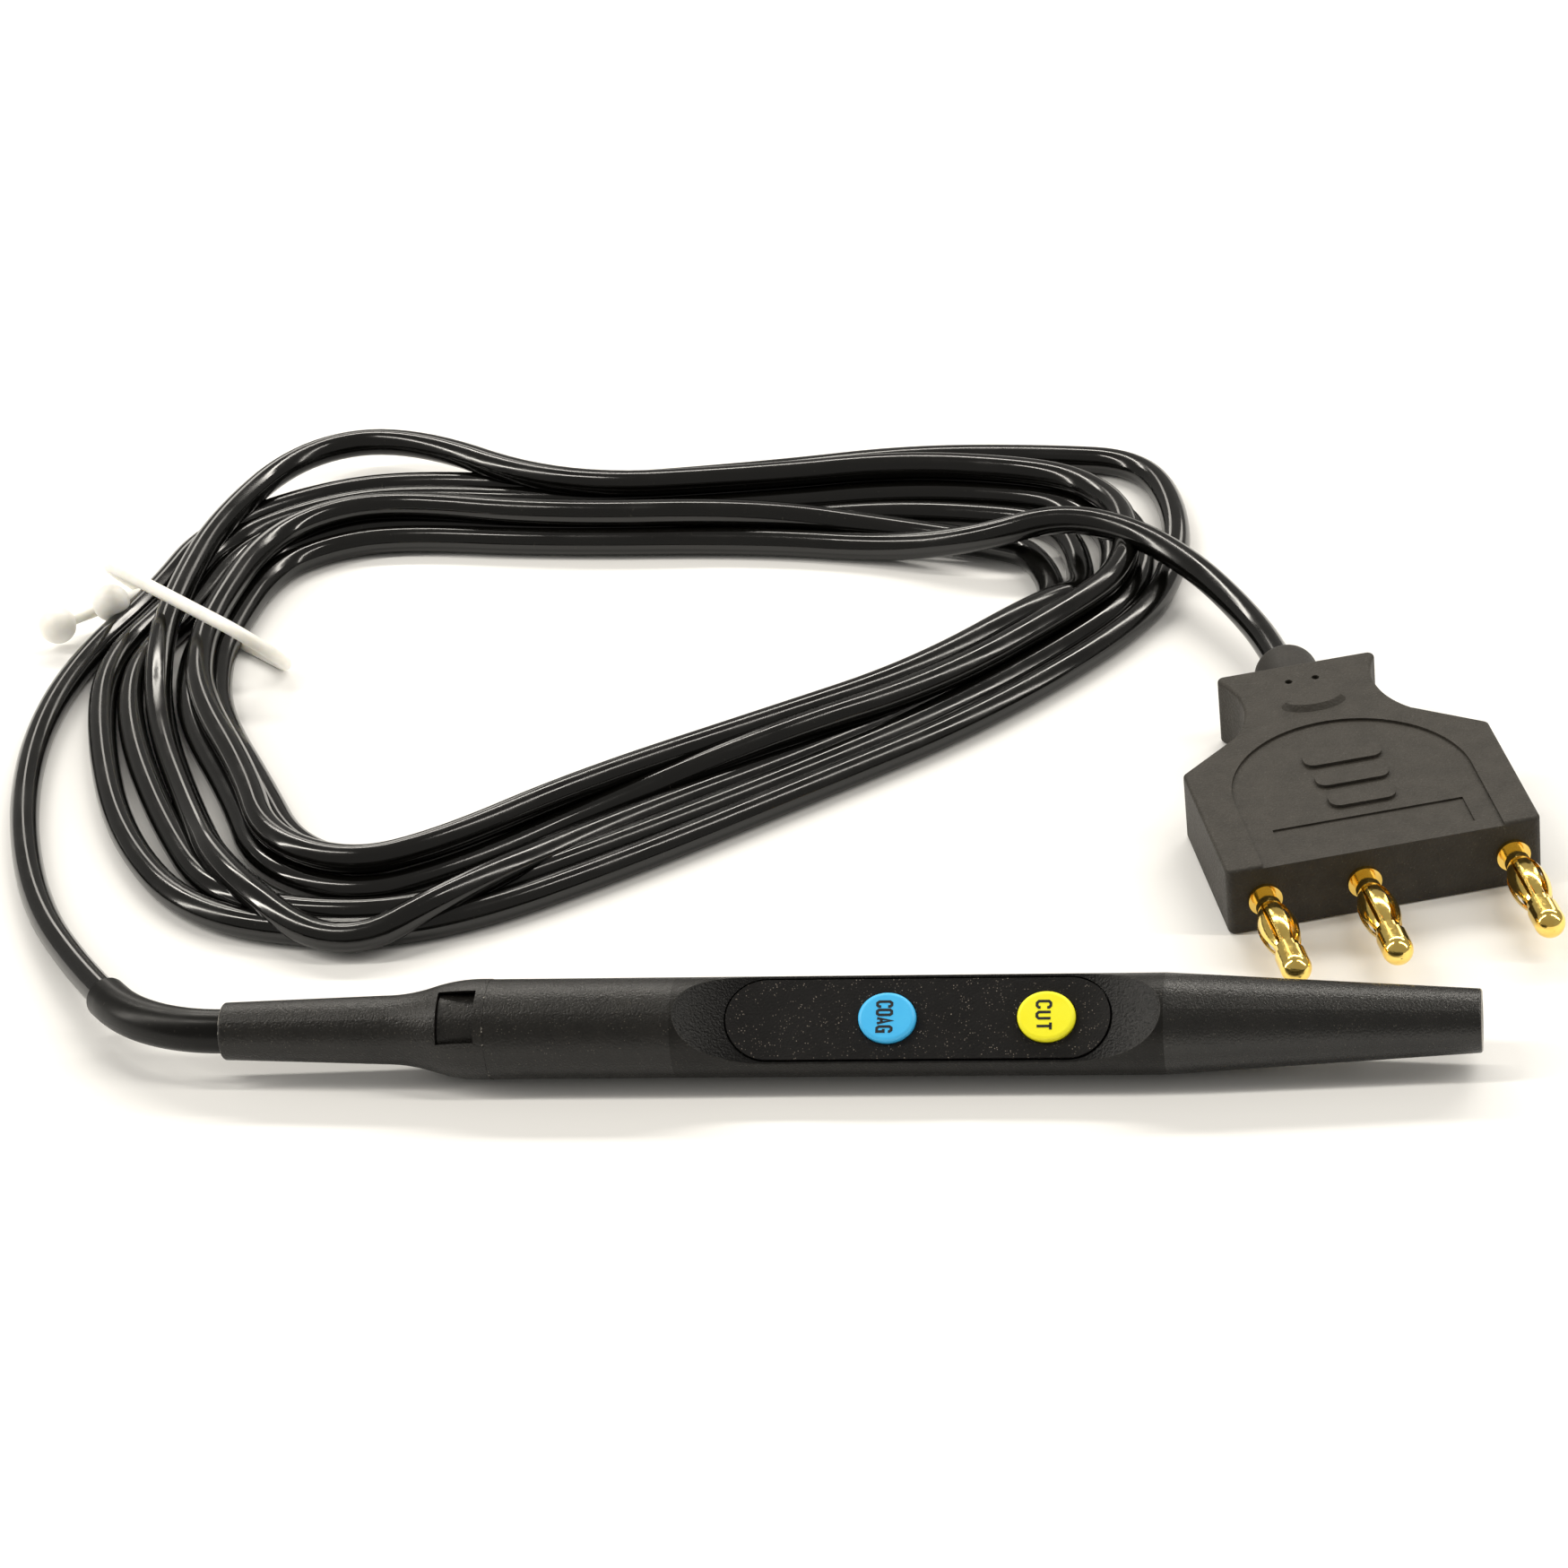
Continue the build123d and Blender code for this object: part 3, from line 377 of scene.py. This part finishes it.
@dataclass(frozen=True)
class WaxFinish:
    """Milky soft plastic that light passes into."""

    name: str
    colour: Colour
    cloud: Colour
    roughness: float
    depth_mm: float
    cloud_mm: float = 2.2
    cloud_detail: float = 3.0
    passes: float = 0.6
    scatter: Colour = (1.0, 0.9, 0.7)
    ripple_mm: float = 0.9
    ripple_depth_mm: float = 0.02
    swing: Range = (-0.05, 0.08)

    def material(self) -> bpy.types.Material:
        """Build the finish's material.

        Returns:
            The material.
        """
        graph = Graph(self.name)
        clouds = graph.spread(graph.noise(self.cloud_mm, self.cloud_detail), *NOISE_MIDDLE, 0, 1)
        graph.feed("Base Color", graph.blend(clouds, self.colour, self.cloud))
        graph.fix(Subsurface_Weight=self.passes, Subsurface_Radius=self.scatter)
        graph.fix(Subsurface_Scale=self.depth_mm * MM)
        low, high = (self.roughness + change for change in self.swing)
        graph.feed("Roughness", graph.spread(clouds, 0, 1, low, high))
        graph.bump(graph.noise(self.ripple_mm), self.ripple_depth_mm)
        return graph.material


@dataclass(frozen=True)
class MetalFinish:
    """Plated or bare metal with fine turning marks and a little tarnish."""

    name: str
    colour: Colour
    tarnish: Colour
    roughness: float
    stain_mm: float = 1.6
    stain_detail: float = 4.0
    stain_range: Range = (0.5, 0.75)
    stain_strength: float = 0.6
    mark_mm: float = 0.35
    mark_detail: float = 3.0
    mark_depth_mm: float = 0.006
    swing: Range = (-0.05, 0.08)

    def material(self) -> bpy.types.Material:
        """Build the finish's material.

        Returns:
            The material.
        """
        graph = Graph(self.name)
        clouds = graph.noise(self.stain_mm, self.stain_detail)
        stains = graph.spread(clouds, *self.stain_range, 0, self.stain_strength)
        graph.feed("Base Color", graph.blend(stains, self.colour, self.tarnish))
        graph.fix(Metallic=1.0)
        marks = graph.noise(self.mark_mm, self.mark_detail)
        low, high = (self.roughness + change for change in self.swing)
        graph.feed("Roughness", graph.spread(marks, *NOISE_WHOLE, low, high))
        graph.bump(marks, self.mark_depth_mm)
        return graph.material


@dataclass(frozen=True)
class InkFinish:
    """Printed legend, slightly uneven where the ink is thin."""

    name: str
    colour: Colour
    thin: Colour
    patch_mm: float = 0.3
    patch_detail: float = 3.0
    patch_range: Range = (0.5, 0.7)
    patch_strength: float = 0.5
    roughness: Range = (0.45, 0.6)

    def material(self) -> bpy.types.Material:
        """Build the finish's material.

        Returns:
            The material.
        """
        graph = Graph(self.name)
        patches = graph.noise(self.patch_mm, self.patch_detail)
        worn = graph.spread(patches, *self.patch_range, 0, self.patch_strength)
        graph.feed("Base Color", graph.blend(worn, self.colour, self.thin))
        graph.feed("Roughness", graph.spread(worn, 0, self.patch_strength, *self.roughness))
        return graph.material


class Finish(Enum):
    """Every finish on the pencil, its cord and its plug."""

    SLEEVE = MouldedFinish(
        "charcoal_sleeve", CHARCOAL, CHARCOAL_MOTTLE, CHARCOAL_FLECK,
        roughness=0.34, grain_mm=0.28, grain_depth_mm=0.09,
        fleck_mm=0.4, fleck_size=0.22, fleck_strength=0.5, specular=0.36,
        # patchy lighter rings at the rear end and the rear seam
        worn=((REAR_END, 0.2, 0.12), (REAR_SEAM, 0.14, 0.06)),
    )
    BARREL = MouldedFinish(
        "charcoal_barrel", CHARCOAL, CHARCOAL_MOTTLE, CHARCOAL_FLECK,
        roughness=0.34, grain_mm=0.28, grain_depth_mm=0.09,
        fleck_mm=0.4, fleck_size=0.22, fleck_strength=0.5, specular=0.36,
        # a patchy lighter ring at the rear seam
        worn=((REAR_SEAM, 0.14, 0.06),),
    )
    SWITCH_SHELL = MouldedFinish(
        "charcoal_switch_shell", (0.007, 0.0066, 0.0057), (0.0105, 0.0098, 0.0085), (0.15, 0.135, 0.11),
        roughness=0.35, grain_mm=0.28, grain_depth_mm=0.08,
        fleck_mm=0.4, fleck_size=0.22, fleck_strength=0.45, specular=0.24,
        # painted shade: the sunken flat round the keypad and its run-outs are painted near black
        panel=(0.0012, 0.0011, 0.0011),
    )
    NOSE = MouldedFinish(
        "charcoal_nose", (0.006, 0.0057, 0.005), (0.0095, 0.0088, 0.0076), (0.15, 0.135, 0.11),
        roughness=0.31, grain_mm=0.28, grain_depth_mm=0.08,
        fleck_mm=0.4, fleck_size=0.22, fleck_strength=0.45, specular=0.5,
        # painted highlight: a pale patchy ring at the nose's mouth stands for the glint on its edge
        worn=((NOSE_END, 0.16, 0.45),),
    )
    PAD = MouldedFinish(
        "black_keypad", (0.0035, 0.0032, 0.0032), (0.006, 0.0055, 0.0055), (0.3, 0.26, 0.22),
        roughness=0.55, grain_mm=0.25, grain_depth_mm=0.06,
        fleck_mm=0.34, fleck_size=0.24, fleck_strength=0.8, specular=0.2,
    )
    COAG_KEY = MouldedFinish(
        "blue_key", (0.06, 0.52, 0.98), (0.07, 0.56, 1.0), (0.4, 0.7, 0.9),
        roughness=0.4, grain_mm=0.25, grain_depth_mm=0.008, specular=0.5,
    )
    CUT_KEY = MouldedFinish(
        "yellow_key", (1.0, 0.93, 0.02), (1.0, 0.96, 0.03), (0.9, 0.9, 0.5),
        roughness=0.45, grain_mm=0.25, grain_depth_mm=0.008, specular=0.35,
    )
    PLUG = MouldedFinish(
        "grey_plug", (0.030, 0.0265, 0.021), (0.039, 0.0345, 0.028), (0.13, 0.115, 0.095),
        roughness=0.6, grain_mm=0.34, grain_depth_mm=0.12,
        fleck_mm=0.42, fleck_size=0.24, fleck_strength=0.45, specular=0.3,
    )
    BOOT = MouldedFinish(
        "grey_boot", (0.024, 0.022, 0.019), (0.031, 0.028, 0.024), (0.2, 0.19, 0.18),
        roughness=0.6, grain_mm=0.3, grain_depth_mm=0.02, specular=0.3,
    )
    SWITCH = MouldedFinish(
        "black_switch", (0.02, 0.02, 0.02), (0.03, 0.03, 0.03), (0.1, 0.1, 0.1),
        roughness=0.5, grain_mm=0.3, grain_depth_mm=0.01,
    )
    BOARD = MouldedFinish(
        "green_board", (0.02, 0.16, 0.07), (0.03, 0.2, 0.09), (0.3, 0.5, 0.3),
        roughness=0.35, grain_mm=0.4, grain_depth_mm=0.008,
    )
    INSERT = MouldedFinish(
        "plain_insert", (0.6, 0.58, 0.5), (0.66, 0.63, 0.56), (0.8, 0.8, 0.8),
        roughness=0.5, grain_mm=0.4, grain_depth_mm=0.01,
    )
    CORD = GlossFinish(
        "black_cord", (0.0025, 0.0024, 0.002), roughness=0.13, ripple_mm=2.6, ripple_depth_mm=0.012,
        scuff=(0.05, 0.048, 0.04), specular=0.5,
    )
    RELIEF = GlossFinish(
        "black_relief", (0.004, 0.0038, 0.0033), roughness=0.3, ripple_mm=1.8, ripple_depth_mm=0.015,
        scuff=(0.06, 0.055, 0.05), specular=0.2,
    )
    INSULATION = GlossFinish(
        "red_insulation", (0.5, 0.05, 0.04), roughness=0.3, ripple_mm=1.5, ripple_depth_mm=0.01,
        scuff=(0.6, 0.3, 0.3),
    )
    TIE = WaxFinish("milky_tie", (0.86, 0.85, 0.8), (0.93, 0.92, 0.88), roughness=0.4, depth_mm=1.2)
    GOLD = MetalFinish("gold_pin", (1.0, 0.73, 0.2), (0.95, 0.6, 0.12), roughness=0.12)
    BRASS = MetalFinish("brass_socket", (0.75, 0.56, 0.25), (0.45, 0.3, 0.12), roughness=0.28)
    STEEL = MetalFinish("bright_steel", (0.62, 0.62, 0.6), (0.4, 0.38, 0.35), roughness=0.25)
    INK = InkFinish("legend_ink", (0.006, 0.008, 0.012), (0.02, 0.025, 0.03))


class Paints:
    """Materials by finish, each made once."""

    def __init__(self) -> None:
        """Start with none made."""
        self._made: dict[Finish, bpy.types.Material] = {}

    def get(self, finish: Finish) -> bpy.types.Material:
        """Give a finish's material, made at its first use.

        Args:
            finish: the finish.

        Returns:
            The material.
        """
        if finish not in self._made:
            self._made[finish] = finish.value.material()
        return self._made[finish]

    def coat(self, piece: bpy.types.Object, finish: Finish) -> bpy.types.Object:
        """Put a finish on a piece, over all of its material slots.

        Args:
            piece: a new piece or a node of the frame.
            finish: the finish.

        Returns:
            The piece.
        """
        material = self.get(finish)
        if not piece.material_slots:
            piece.data.materials.append(material)
        for slot in piece.material_slots:
            slot.material = material
        return piece


def add_object(name: str, data: bpy.types.ID) -> bpy.types.Object:
    """Put new data into the scene as an object.

    Args:
        name: the object's name.
        data: its mesh, curve, light or camera.

    Returns:
        The object.
    """
    item = bpy.data.objects.new(name, data)
    bpy.context.scene.collection.objects.link(item)
    return item


@dataclass
class Shells:
    """The pencil's four shells, its socket and what lies inside them."""

    shells: dict[str, Finish] = field(
        default_factory=lambda: {
            "rear_sleeve": Finish.SLEEVE,
            "rear_barrel": Finish.BARREL,
            "switch_body": Finish.SWITCH_SHELL,
            "nose_cone": Finish.NOSE,
        }
    )
    insides: dict[str, Finish] = field(
        default_factory=lambda: {
            "electrode_socket": Finish.BRASS,
            "socket_spring": Finish.STEEL,
            "cord_ferrule": Finish.STEEL,
            "switch_board": Finish.BOARD,
            "coag_switch": Finish.SWITCH,
            "cut_switch": Finish.SWITCH,
            "active_wire": Finish.INSULATION,
            "coag_wire": Finish.INSULATION,
            "cut_wire": Finish.INSULATION,
        }
    )

    def dress(self, paints: Paints) -> None:
        """Finish the shells and what they hold.

        Args:
            paints: the materials.
        """
        for name, finish in (self.shells | self.insides).items():
            paints.coat(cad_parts[name], finish)
        log.info("shells: %s", ", ".join(self.shells))


@dataclass(frozen=True)
class Legend:
    """A word on a key: its letters' sizes, and how its key's node and body are called."""

    word: str
    node: str
    body: str
    letter_width: float
    letter_height: float
    gap: float


@dataclass
class Keypad:
    """The inlay and the two keys, each with its word printed on top."""

    panel_lean: float = 37.0
    key_top: float = 3.75
    axis_height: float = AXIS_HEIGHT
    stroke: float = 0.33
    touching: float = 1e-6
    least_mitre: float = 0.5
    ink_thickness: float = 0.03
    shift_back: float = 0.25
    legends: tuple[Legend, ...] = (
        Legend("COAG", "coag_button", "coag_key", 0.62, 1.75, 0.42),
        Legend("CUT", "cut_button", "cut_key", 0.78, 1.65, 0.58),
    )
    glyphs: dict[str, tuple[tuple[tuple[float, float], ...], ...]] = field(
        default_factory=lambda: {
            "C": (
                (
                    (1, 0.74), (1, 0.88), (0.72, 1), (0.28, 1), (0, 0.86),
                    (0, 0.14), (0.28, 0), (0.72, 0), (1, 0.12), (1, 0.26),
                ),
            ),
            "O": (
                (
                    (0, 0.5), (0, 0.88), (0.25, 1), (0.75, 1), (1, 0.88),
                    (1, 0.12), (0.75, 0), (0.25, 0), (0, 0.12), (0, 0.5),
                ),
            ),
            "A": (((0, 0), (0.5, 1), (1, 0)), ((0.16, 0.3), (0.84, 0.3))),
            "G": (
                (
                    (1, 0.78), (1, 0.88), (0.72, 1), (0.28, 1), (0, 0.86),
                    (0, 0.14), (0.28, 0), (1, 0), (1, 0.46), (0.5, 0.46),
                ),
            ),
            "U": (((0, 1), (0, 0.14), (0.28, 0), (0.72, 0), (1, 0.14), (1, 1)),),
            "T": (((-0.06, 1), (1.06, 1)), ((0.5, 1), (0.5, 0))),
        }
    )

    def stroke_outline(self, line: list[Vector]) -> tuple[list[Vector], list[Vector]]:
        """Move a stroke's line half its width to each side, mitred at its corners.

        Args:
            line: the stroke's points in the letter's plane.

        Returns:
            The points on its left and those on its right.
        """
        left, right = [], []
        closed = (line[0] - line[-1]).length < self.touching
        for i, point in enumerate(line):
            before = line[i - 1] if i else (line[-2] if closed else None)
            after = line[i + 1] if i + 1 < len(line) else (line[1] if closed else None)
            ways = [(b - a).normalized() for a, b in ((before, point), (point, after)) if a and b]
            normals = [Vector((-way.y, way.x)) for way in ways]
            side = sum(normals, Vector((0, 0))).normalized()
            reach = self.stroke / 2 / max(side.dot(normals[0]), self.least_mitre)
            left.append(point + side * reach)
            right.append(point - side * reach)
        return left, right

    def word_mesh(self, legend: Legend) -> bpy.types.Mesh:
        """Build a word's letters as thin flat strokes, centred on the origin.

        Args:
            legend: the word and its sizes.

        Returns:
            The mesh, in metres, reading along its X and with its tops towards its Y.
        """
        verts: list[Point] = []
        faces: list[tuple[int, ...]] = []
        pitch = legend.letter_width + legend.gap
        start = -(pitch * len(legend.word) - legend.gap) / 2
        for number, letter in enumerate(legend.word):
            for glyph in self.glyphs[letter]:
                edge = start + number * pitch
                line = [
                    Vector((edge + x * legend.letter_width, (y - 0.5) * legend.letter_height))
                    for x, y in glyph
                ]
                left, right = self.stroke_outline(line)
                first = len(verts)
                for a, b in zip(left, right):
                    for height in (0, self.ink_thickness):
                        verts += [(a.x * MM, a.y * MM, height * MM), (b.x * MM, b.y * MM, height * MM)]
                for i in range(len(line) - 1):
                    a = first + 4 * i
                    faces += [
                        (a + 2, a + 3, a + 7, a + 6),
                        (a, a + 4, a + 5, a + 1),
                        (a, a + 2, a + 6, a + 4),
                        (a + 1, a + 5, a + 7, a + 3),
                    ]
                last = first + 4 * (len(line) - 1)
                faces += [(first, first + 1, first + 3, first + 2), (last, last + 2, last + 3, last + 1)]
        mesh = bpy.data.meshes.new("legend_" + legend.word.lower())
        mesh.from_pydata(verts, [], faces)
        mesh.validate()
        return mesh

    def print_legend(self, legend: Legend, paints: Paints) -> bpy.types.Object:
        """Print a word on its key, reading across the pencil with its tops towards the nose.

        Args:
            legend: the word and its key.
            paints: the materials.

        Returns:
            The word's object.
        """
        low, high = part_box(legend.node)
        lean = math.radians(self.panel_lean)
        out = Vector((0, -math.sin(lean), math.cos(lean)))
        across = Vector((0, math.cos(lean), math.sin(lean)))
        middle = Vector(((low.x + high.x) / 2 - self.shift_back * MM, 0, self.axis_height * MM))
        place = middle + out * (self.key_top * MM)
        turn = Matrix((-across, Vector((1, 0, 0)), out)).transposed().to_4x4()
        word = add_object("legend_" + legend.word.lower(), self.word_mesh(legend))
        word.matrix_world = Matrix.Translation(place) @ turn
        paints.coat(word, Finish.INK)
        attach(word, legend.body)
        return word

    def dress(self, paints: Paints) -> None:
        """Finish the inlay and the keys, and print the words.

        Args:
            paints: the materials.
        """
        paints.coat(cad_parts["keypad_pad"], Finish.PAD)
        paints.coat(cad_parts["coag_button"], Finish.COAG_KEY)
        paints.coat(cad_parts["cut_button"], Finish.CUT_KEY)
        for legend in self.legends:
            log.info("legend: %s", self.print_legend(legend, paints).name)


@dataclass(frozen=True)
class Station:
    """A cut across the coil, whose turns lie side by side in two rows.

    The outermost lane is at (x, y). Lanes go inward along the heading, half a pitch for each
    character of a row, and a digit is the number of the turn that lies there.
    """

    name: str
    x: float
    y: float
    heading: float
    pitch: float
    lower: str
    upper: str

    def place(self, turn: int, low: float, high: float) -> Point | None:
        """Find where a turn crosses this cut.

        Args:
            turn: the turn's number.
            low: the lower row's height.
            high: the upper row's height.

        Returns:
            The point in millimetres, or None where the turn doesn't pass.
        """
        heading = math.radians(self.heading)
        for row, height in ((self.lower, low), (self.upper, high)):
            lane = row.find(str(turn))
            if lane >= 0:
                inward = lane * self.pitch / 2
                return (
                    self.x + inward * math.cos(heading),
                    self.y + inward * math.sin(heading),
                    height,
                )
        return None


@dataclass
class Cord:
    """The one cord, from the ferrule in the rear sleeve, through the tied coil, to the plug."""

    diameter: float = 4.0
    length: float = 2.7
    leaves_at: Point = (REAR_END, 0.0, AXIS_HEIGHT)
    turns: int = 7
    low: float = 2.02
    high: float = 5.55
    side_steps: int = 5
    length_steps: int = 10
    curve_order: int = 3
    lead: tuple[Point, ...] = (
        (-65.1, 0.0, AXIS_HEIGHT),
        (-87.2, 0.0, AXIS_HEIGHT),
        (-100.0, 16.0, 3.6),
        (-111.5, 34.0, 1.95),
        (-119.5, 56.0, 1.95),
        (-123.0, 78.0, 1.95),
        (-121.0, 97.0, 1.95),
    )
    stations: tuple[Station, ...] = (
        Station("tie", -114.8, 113.0, -38, 4.4, "0.1.2.4.6", "...3...5"),
        Station("shoulder", -111.5, 131.0, -42, 4.3, "0.1.2.4.6", "..3....5"),
        Station("crown_left", -100.5, 149.0, -68, 4.1, "....0.1.2.4.6", "3.........5"),
        Station("crown", -84.5, 153.0, -82, 4.1, "....0.1.2.4.6", "3.........5"),
        Station("north_left", -58.0, 141.5, -90, 3.95, "0.1.2.4.6", "...3...5"),
        Station("north_mid", -28.0, 144.5, -90, 4.9, "0.1.2.4.6", "...3...5"),
        Station("north_right", -8.0, 148.0, -90, 5.3, "0.1.2.4.5.6", "...3"),
        Station("far_corner", 12.0, 147.0, -95, 4.0, "0...1.2..4...5", ".....3"),
        Station("east_back", 27.5, 144.5, -124, 4.0, "0.....1.2..4", ".......3"),
        Station("tip", 33.5, 127.0, -155, 4.0, "0..1.2..4..5", "....3"),
        Station("east", 32.8, 108.0, 180, 3.9, "0.1.2.4.5", "...3"),
        Station("east_front", 26.0, 94.5, 147, 4.3, "0.1.2.5", "...3.4"),
        Station("front_right", 8.8, 75.0, 141, 4.3, "0.1.2.5", "...3.4"),
        Station("front_mid", -11.0, 59.5, 129, 3.7, "0.1.2...5", ".....3.4"),
        Station("front_centre", -33.0, 42.5, 124, 4.5, "0.1.2.3.5", ".......4"),
        Station("front_left", -51.5, 27.5, 115, 4.5, ".0.1..3..5", "..2....4"),
        Station("near_corner", -68.0, 21.5, 95, 4.5, "2.0.1.3..5", ".......4"),
        Station("bend_low", -89.5, 31.0, 60, 4.3, "0.1...3..5", "...2...4"),
        Station("bend_mid", -103.8, 49.5, 32, 4.1, "0..1.2..3.5", ".........4"),
        Station("west", -113.6, 75.5, 15, 4.2, "0.1.2.3.5", ".......4"),
        Station("under_tie", -117.2, 95.0, -8, 4.2, "0.1...3.5", "....2..4"),
    )
    last_station: str = "north_right"
    tail: tuple[Point, ...] = (
        (6.0, 117.5, 5.6),
        (17.0, 119.0, 8.2),
        (27.6, 115.5, 7.6),
        (36.5, 107.5, 6.4),
        (43.2, 97.8, 5.4),
        (48.37, 87.58, 4.8),
        (51.33, 77.52, 4.8),
    )

    def route(self) -> list[Point]:
        """List the cord's points from the pencil to the plug.

        Returns:
            The points, in millimetres.
        """
        points = list(self.lead)
        for turn in range(self.turns):
            for station in self.stations:
                point = station.place(turn, self.low, self.high)
                if point:
                    points.append(point)
                if turn == self.turns - 1 and station.name == self.last_station:
                    break
        return points + list(self.tail)

    def build(self, paints: Paints, on_cord: list[bpy.types.Object]) -> bpy.types.Object:
        """Args:
            paints: the materials.
            on_cord: the pieces that hang on the cord; not used.

        Returns:
            The cord's object.
        """
        curve = bpy.data.curves.new("cord", "CURVE")
        curve.dimensions = "3D"
        curve.bevel_depth = self.diameter / 2 * MM
        curve.bevel_resolution = self.side_steps
        curve.resolution_u = self.length_steps
        curve.use_fill_caps = True
        route = self.route()
        spline = curve.splines.new("NURBS")
        spline.points.add(len(route) - 1)
        for control, point in zip(spline.points, route):
            control.co = (*(value * MM for value in point), 1)
        spline.order_u = self.curve_order
        spline.use_endpoint_u = True
        cord = add_object("cord", curve)
        paints.coat(cord, Finish.CORD)
        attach(cord, "root")
        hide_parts("cord_lead", "cord_coil", "cord_tail")
        log.info("cord: %d points", len(route))
        return cord


@dataclass
class PlugAndTie:
    """What hangs on the cord: the strain relief, the tie, and the plug with its pins."""

    pins: tuple[str, ...] = ("left", "middle", "right")

    def dress(self, paints: Paints) -> list[bpy.types.Object]:
        """Finish the strain relief, the tie, the plug and the pins.

        Args:
            paints: the materials.

        Returns:
            The nodes that hang on the cord.
        """
        finishes = {
            "strain_relief": Finish.RELIEF,
            "cord_tie": Finish.TIE,
            "plug_body": Finish.PLUG,
            "plug_boot": Finish.BOOT,
            "plug_insert": Finish.INSERT,
        }
        for pin in self.pins:
            finishes["pin_" + pin] = Finish.GOLD
            finishes["pin_" + pin + "_spring"] = Finish.GOLD
            finishes["plug_" + pin + "_wire"] = Finish.INSULATION
        nodes = [paints.coat(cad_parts[name], finish) for name, finish in finishes.items()]
        log.info("on the cord: %s", ", ".join(finishes))
        return nodes


@dataclass(frozen=True)
class Softbox:
    """A rectangular studio light."""

    name: str
    place: Point
    aim: Point
    width: float
    height: float
    power: float
    colour: Colour = (1.0, 0.955, 0.875)


@dataclass
class Studio:
    """The pale floor, the soft lights and the camera."""

    camera_place: Point = (0.08712337, -0.4506752, 0.3343166)
    camera_right: Point = (0.98606336, 0.12930083, -0.1046917)
    camera_up: Point = (0.01702386, 0.54754887, 0.83660051)
    camera_back: Point = (0.16549696, -0.82672337, 0.53771668)
    sensor: float = 36.0
    focal_share: float = 5201.0 / 1749.0
    floor_half: float = 6.0
    floor_colour: Colour = (0.92, 0.92, 0.915)
    floor_roughness: float = 0.9
    nearest: float = 0.01
    air: Colour = (1.0, 0.965, 0.9)
    air_strength: float = 0.34
    lights: tuple[Softbox, ...] = (
        Softbox("softbox_left", (-0.8, -0.05, 0.65), (-0.02, 0.06, 0.0), 0.07, 1.2, 6.6),
        Softbox("softbox_right", (0.75, 0.0, 0.8), (0.0, 0.06, 0.0), 0.07, 1.2, 5.2),
        Softbox("softbox_back", (0.0, 0.7, 0.75), (0.0, 0.06, 0.0), 1.5, 0.08, 7.5),
        Softbox("strip_back_left", (-0.45, 1.1, 0.55), (-0.05, 0.06, 0.0), 0.16, 0.5, 1.1),
        Softbox("strip_back_right", (0.45, 1.1, 0.55), (-0.05, 0.06, 0.0), 0.16, 0.5, 1.1),
    )

    def lay_floor(self) -> None:
        """Lay the plain floor that everything stands on."""
        half = self.floor_half
        corners = [(-half, -half, 0), (half, -half, 0), (half, half, 0), (-half, half, 0)]
        mesh = bpy.data.meshes.new("floor")
        mesh.from_pydata(corners, [], [(0, 1, 2, 3)])
        floor = add_object("floor", mesh)
        graph = Graph("pale_floor")
        graph.fix(Base_Color=(*self.floor_colour, 1), Roughness=self.floor_roughness)
        floor.data.materials.append(graph.material)

    def fill_air(self) -> None:
        """Light the scene faintly from all around, and keep its blacks black."""
        world = bpy.data.worlds.new("air")
        world.use_nodes = True
        background = world.node_tree.nodes["Background"]
        background.inputs["Color"].default_value = (*self.air, 1)
        background.inputs["Strength"].default_value = self.air_strength
        bpy.context.scene.world = world
        bpy.context.scene.view_settings.view_transform = "Standard"

    def hang_lights(self) -> None:
        """Hang the soft lights, each turned to what it aims at."""
        for box in self.lights:
            light = bpy.data.lights.new(box.name, "AREA")
            light.shape = "RECTANGLE"
            light.size = box.width
            light.size_y = box.height
            light.energy = box.power
            light.color = box.colour
            lamp = add_object(box.name, light)
            lamp.location = box.place
            aim = Vector(box.aim) - Vector(box.place)
            lamp.rotation_euler = aim.to_track_quat("-Z", "Y").to_euler()

    def set_camera(self) -> None:
        """Stand the camera where the photograph's stood."""
        data = bpy.data.cameras.new("camera")
        data.sensor_width = self.sensor
        data.lens = self.sensor * self.focal_share
        data.clip_start = self.nearest
        camera = add_object("camera", data)
        turn = Matrix((self.camera_right, self.camera_up, self.camera_back)).transposed().to_4x4()
        camera.matrix_world = Matrix.Translation(self.camera_place) @ turn
        bpy.context.scene.camera = camera

    def build(self) -> None:
        """Set up the floor, the lights and the camera."""
        self.lay_floor()
        self.fill_air()
        self.hang_lights()
        self.set_camera()
        log.info("studio: %d lights", len(self.lights))


def main() -> None:
    """Build every sub-assembly and report it."""
    paints = Paints()
    Studio().build()
    Shells().dress(paints)
    Keypad().dress(paints)
    on_cord = PlugAndTie().dress(paints)
    Cord().build(paints, on_cord)


if __name__ == "__main__":
    logging.basicConfig(level=logging.INFO)
    main()
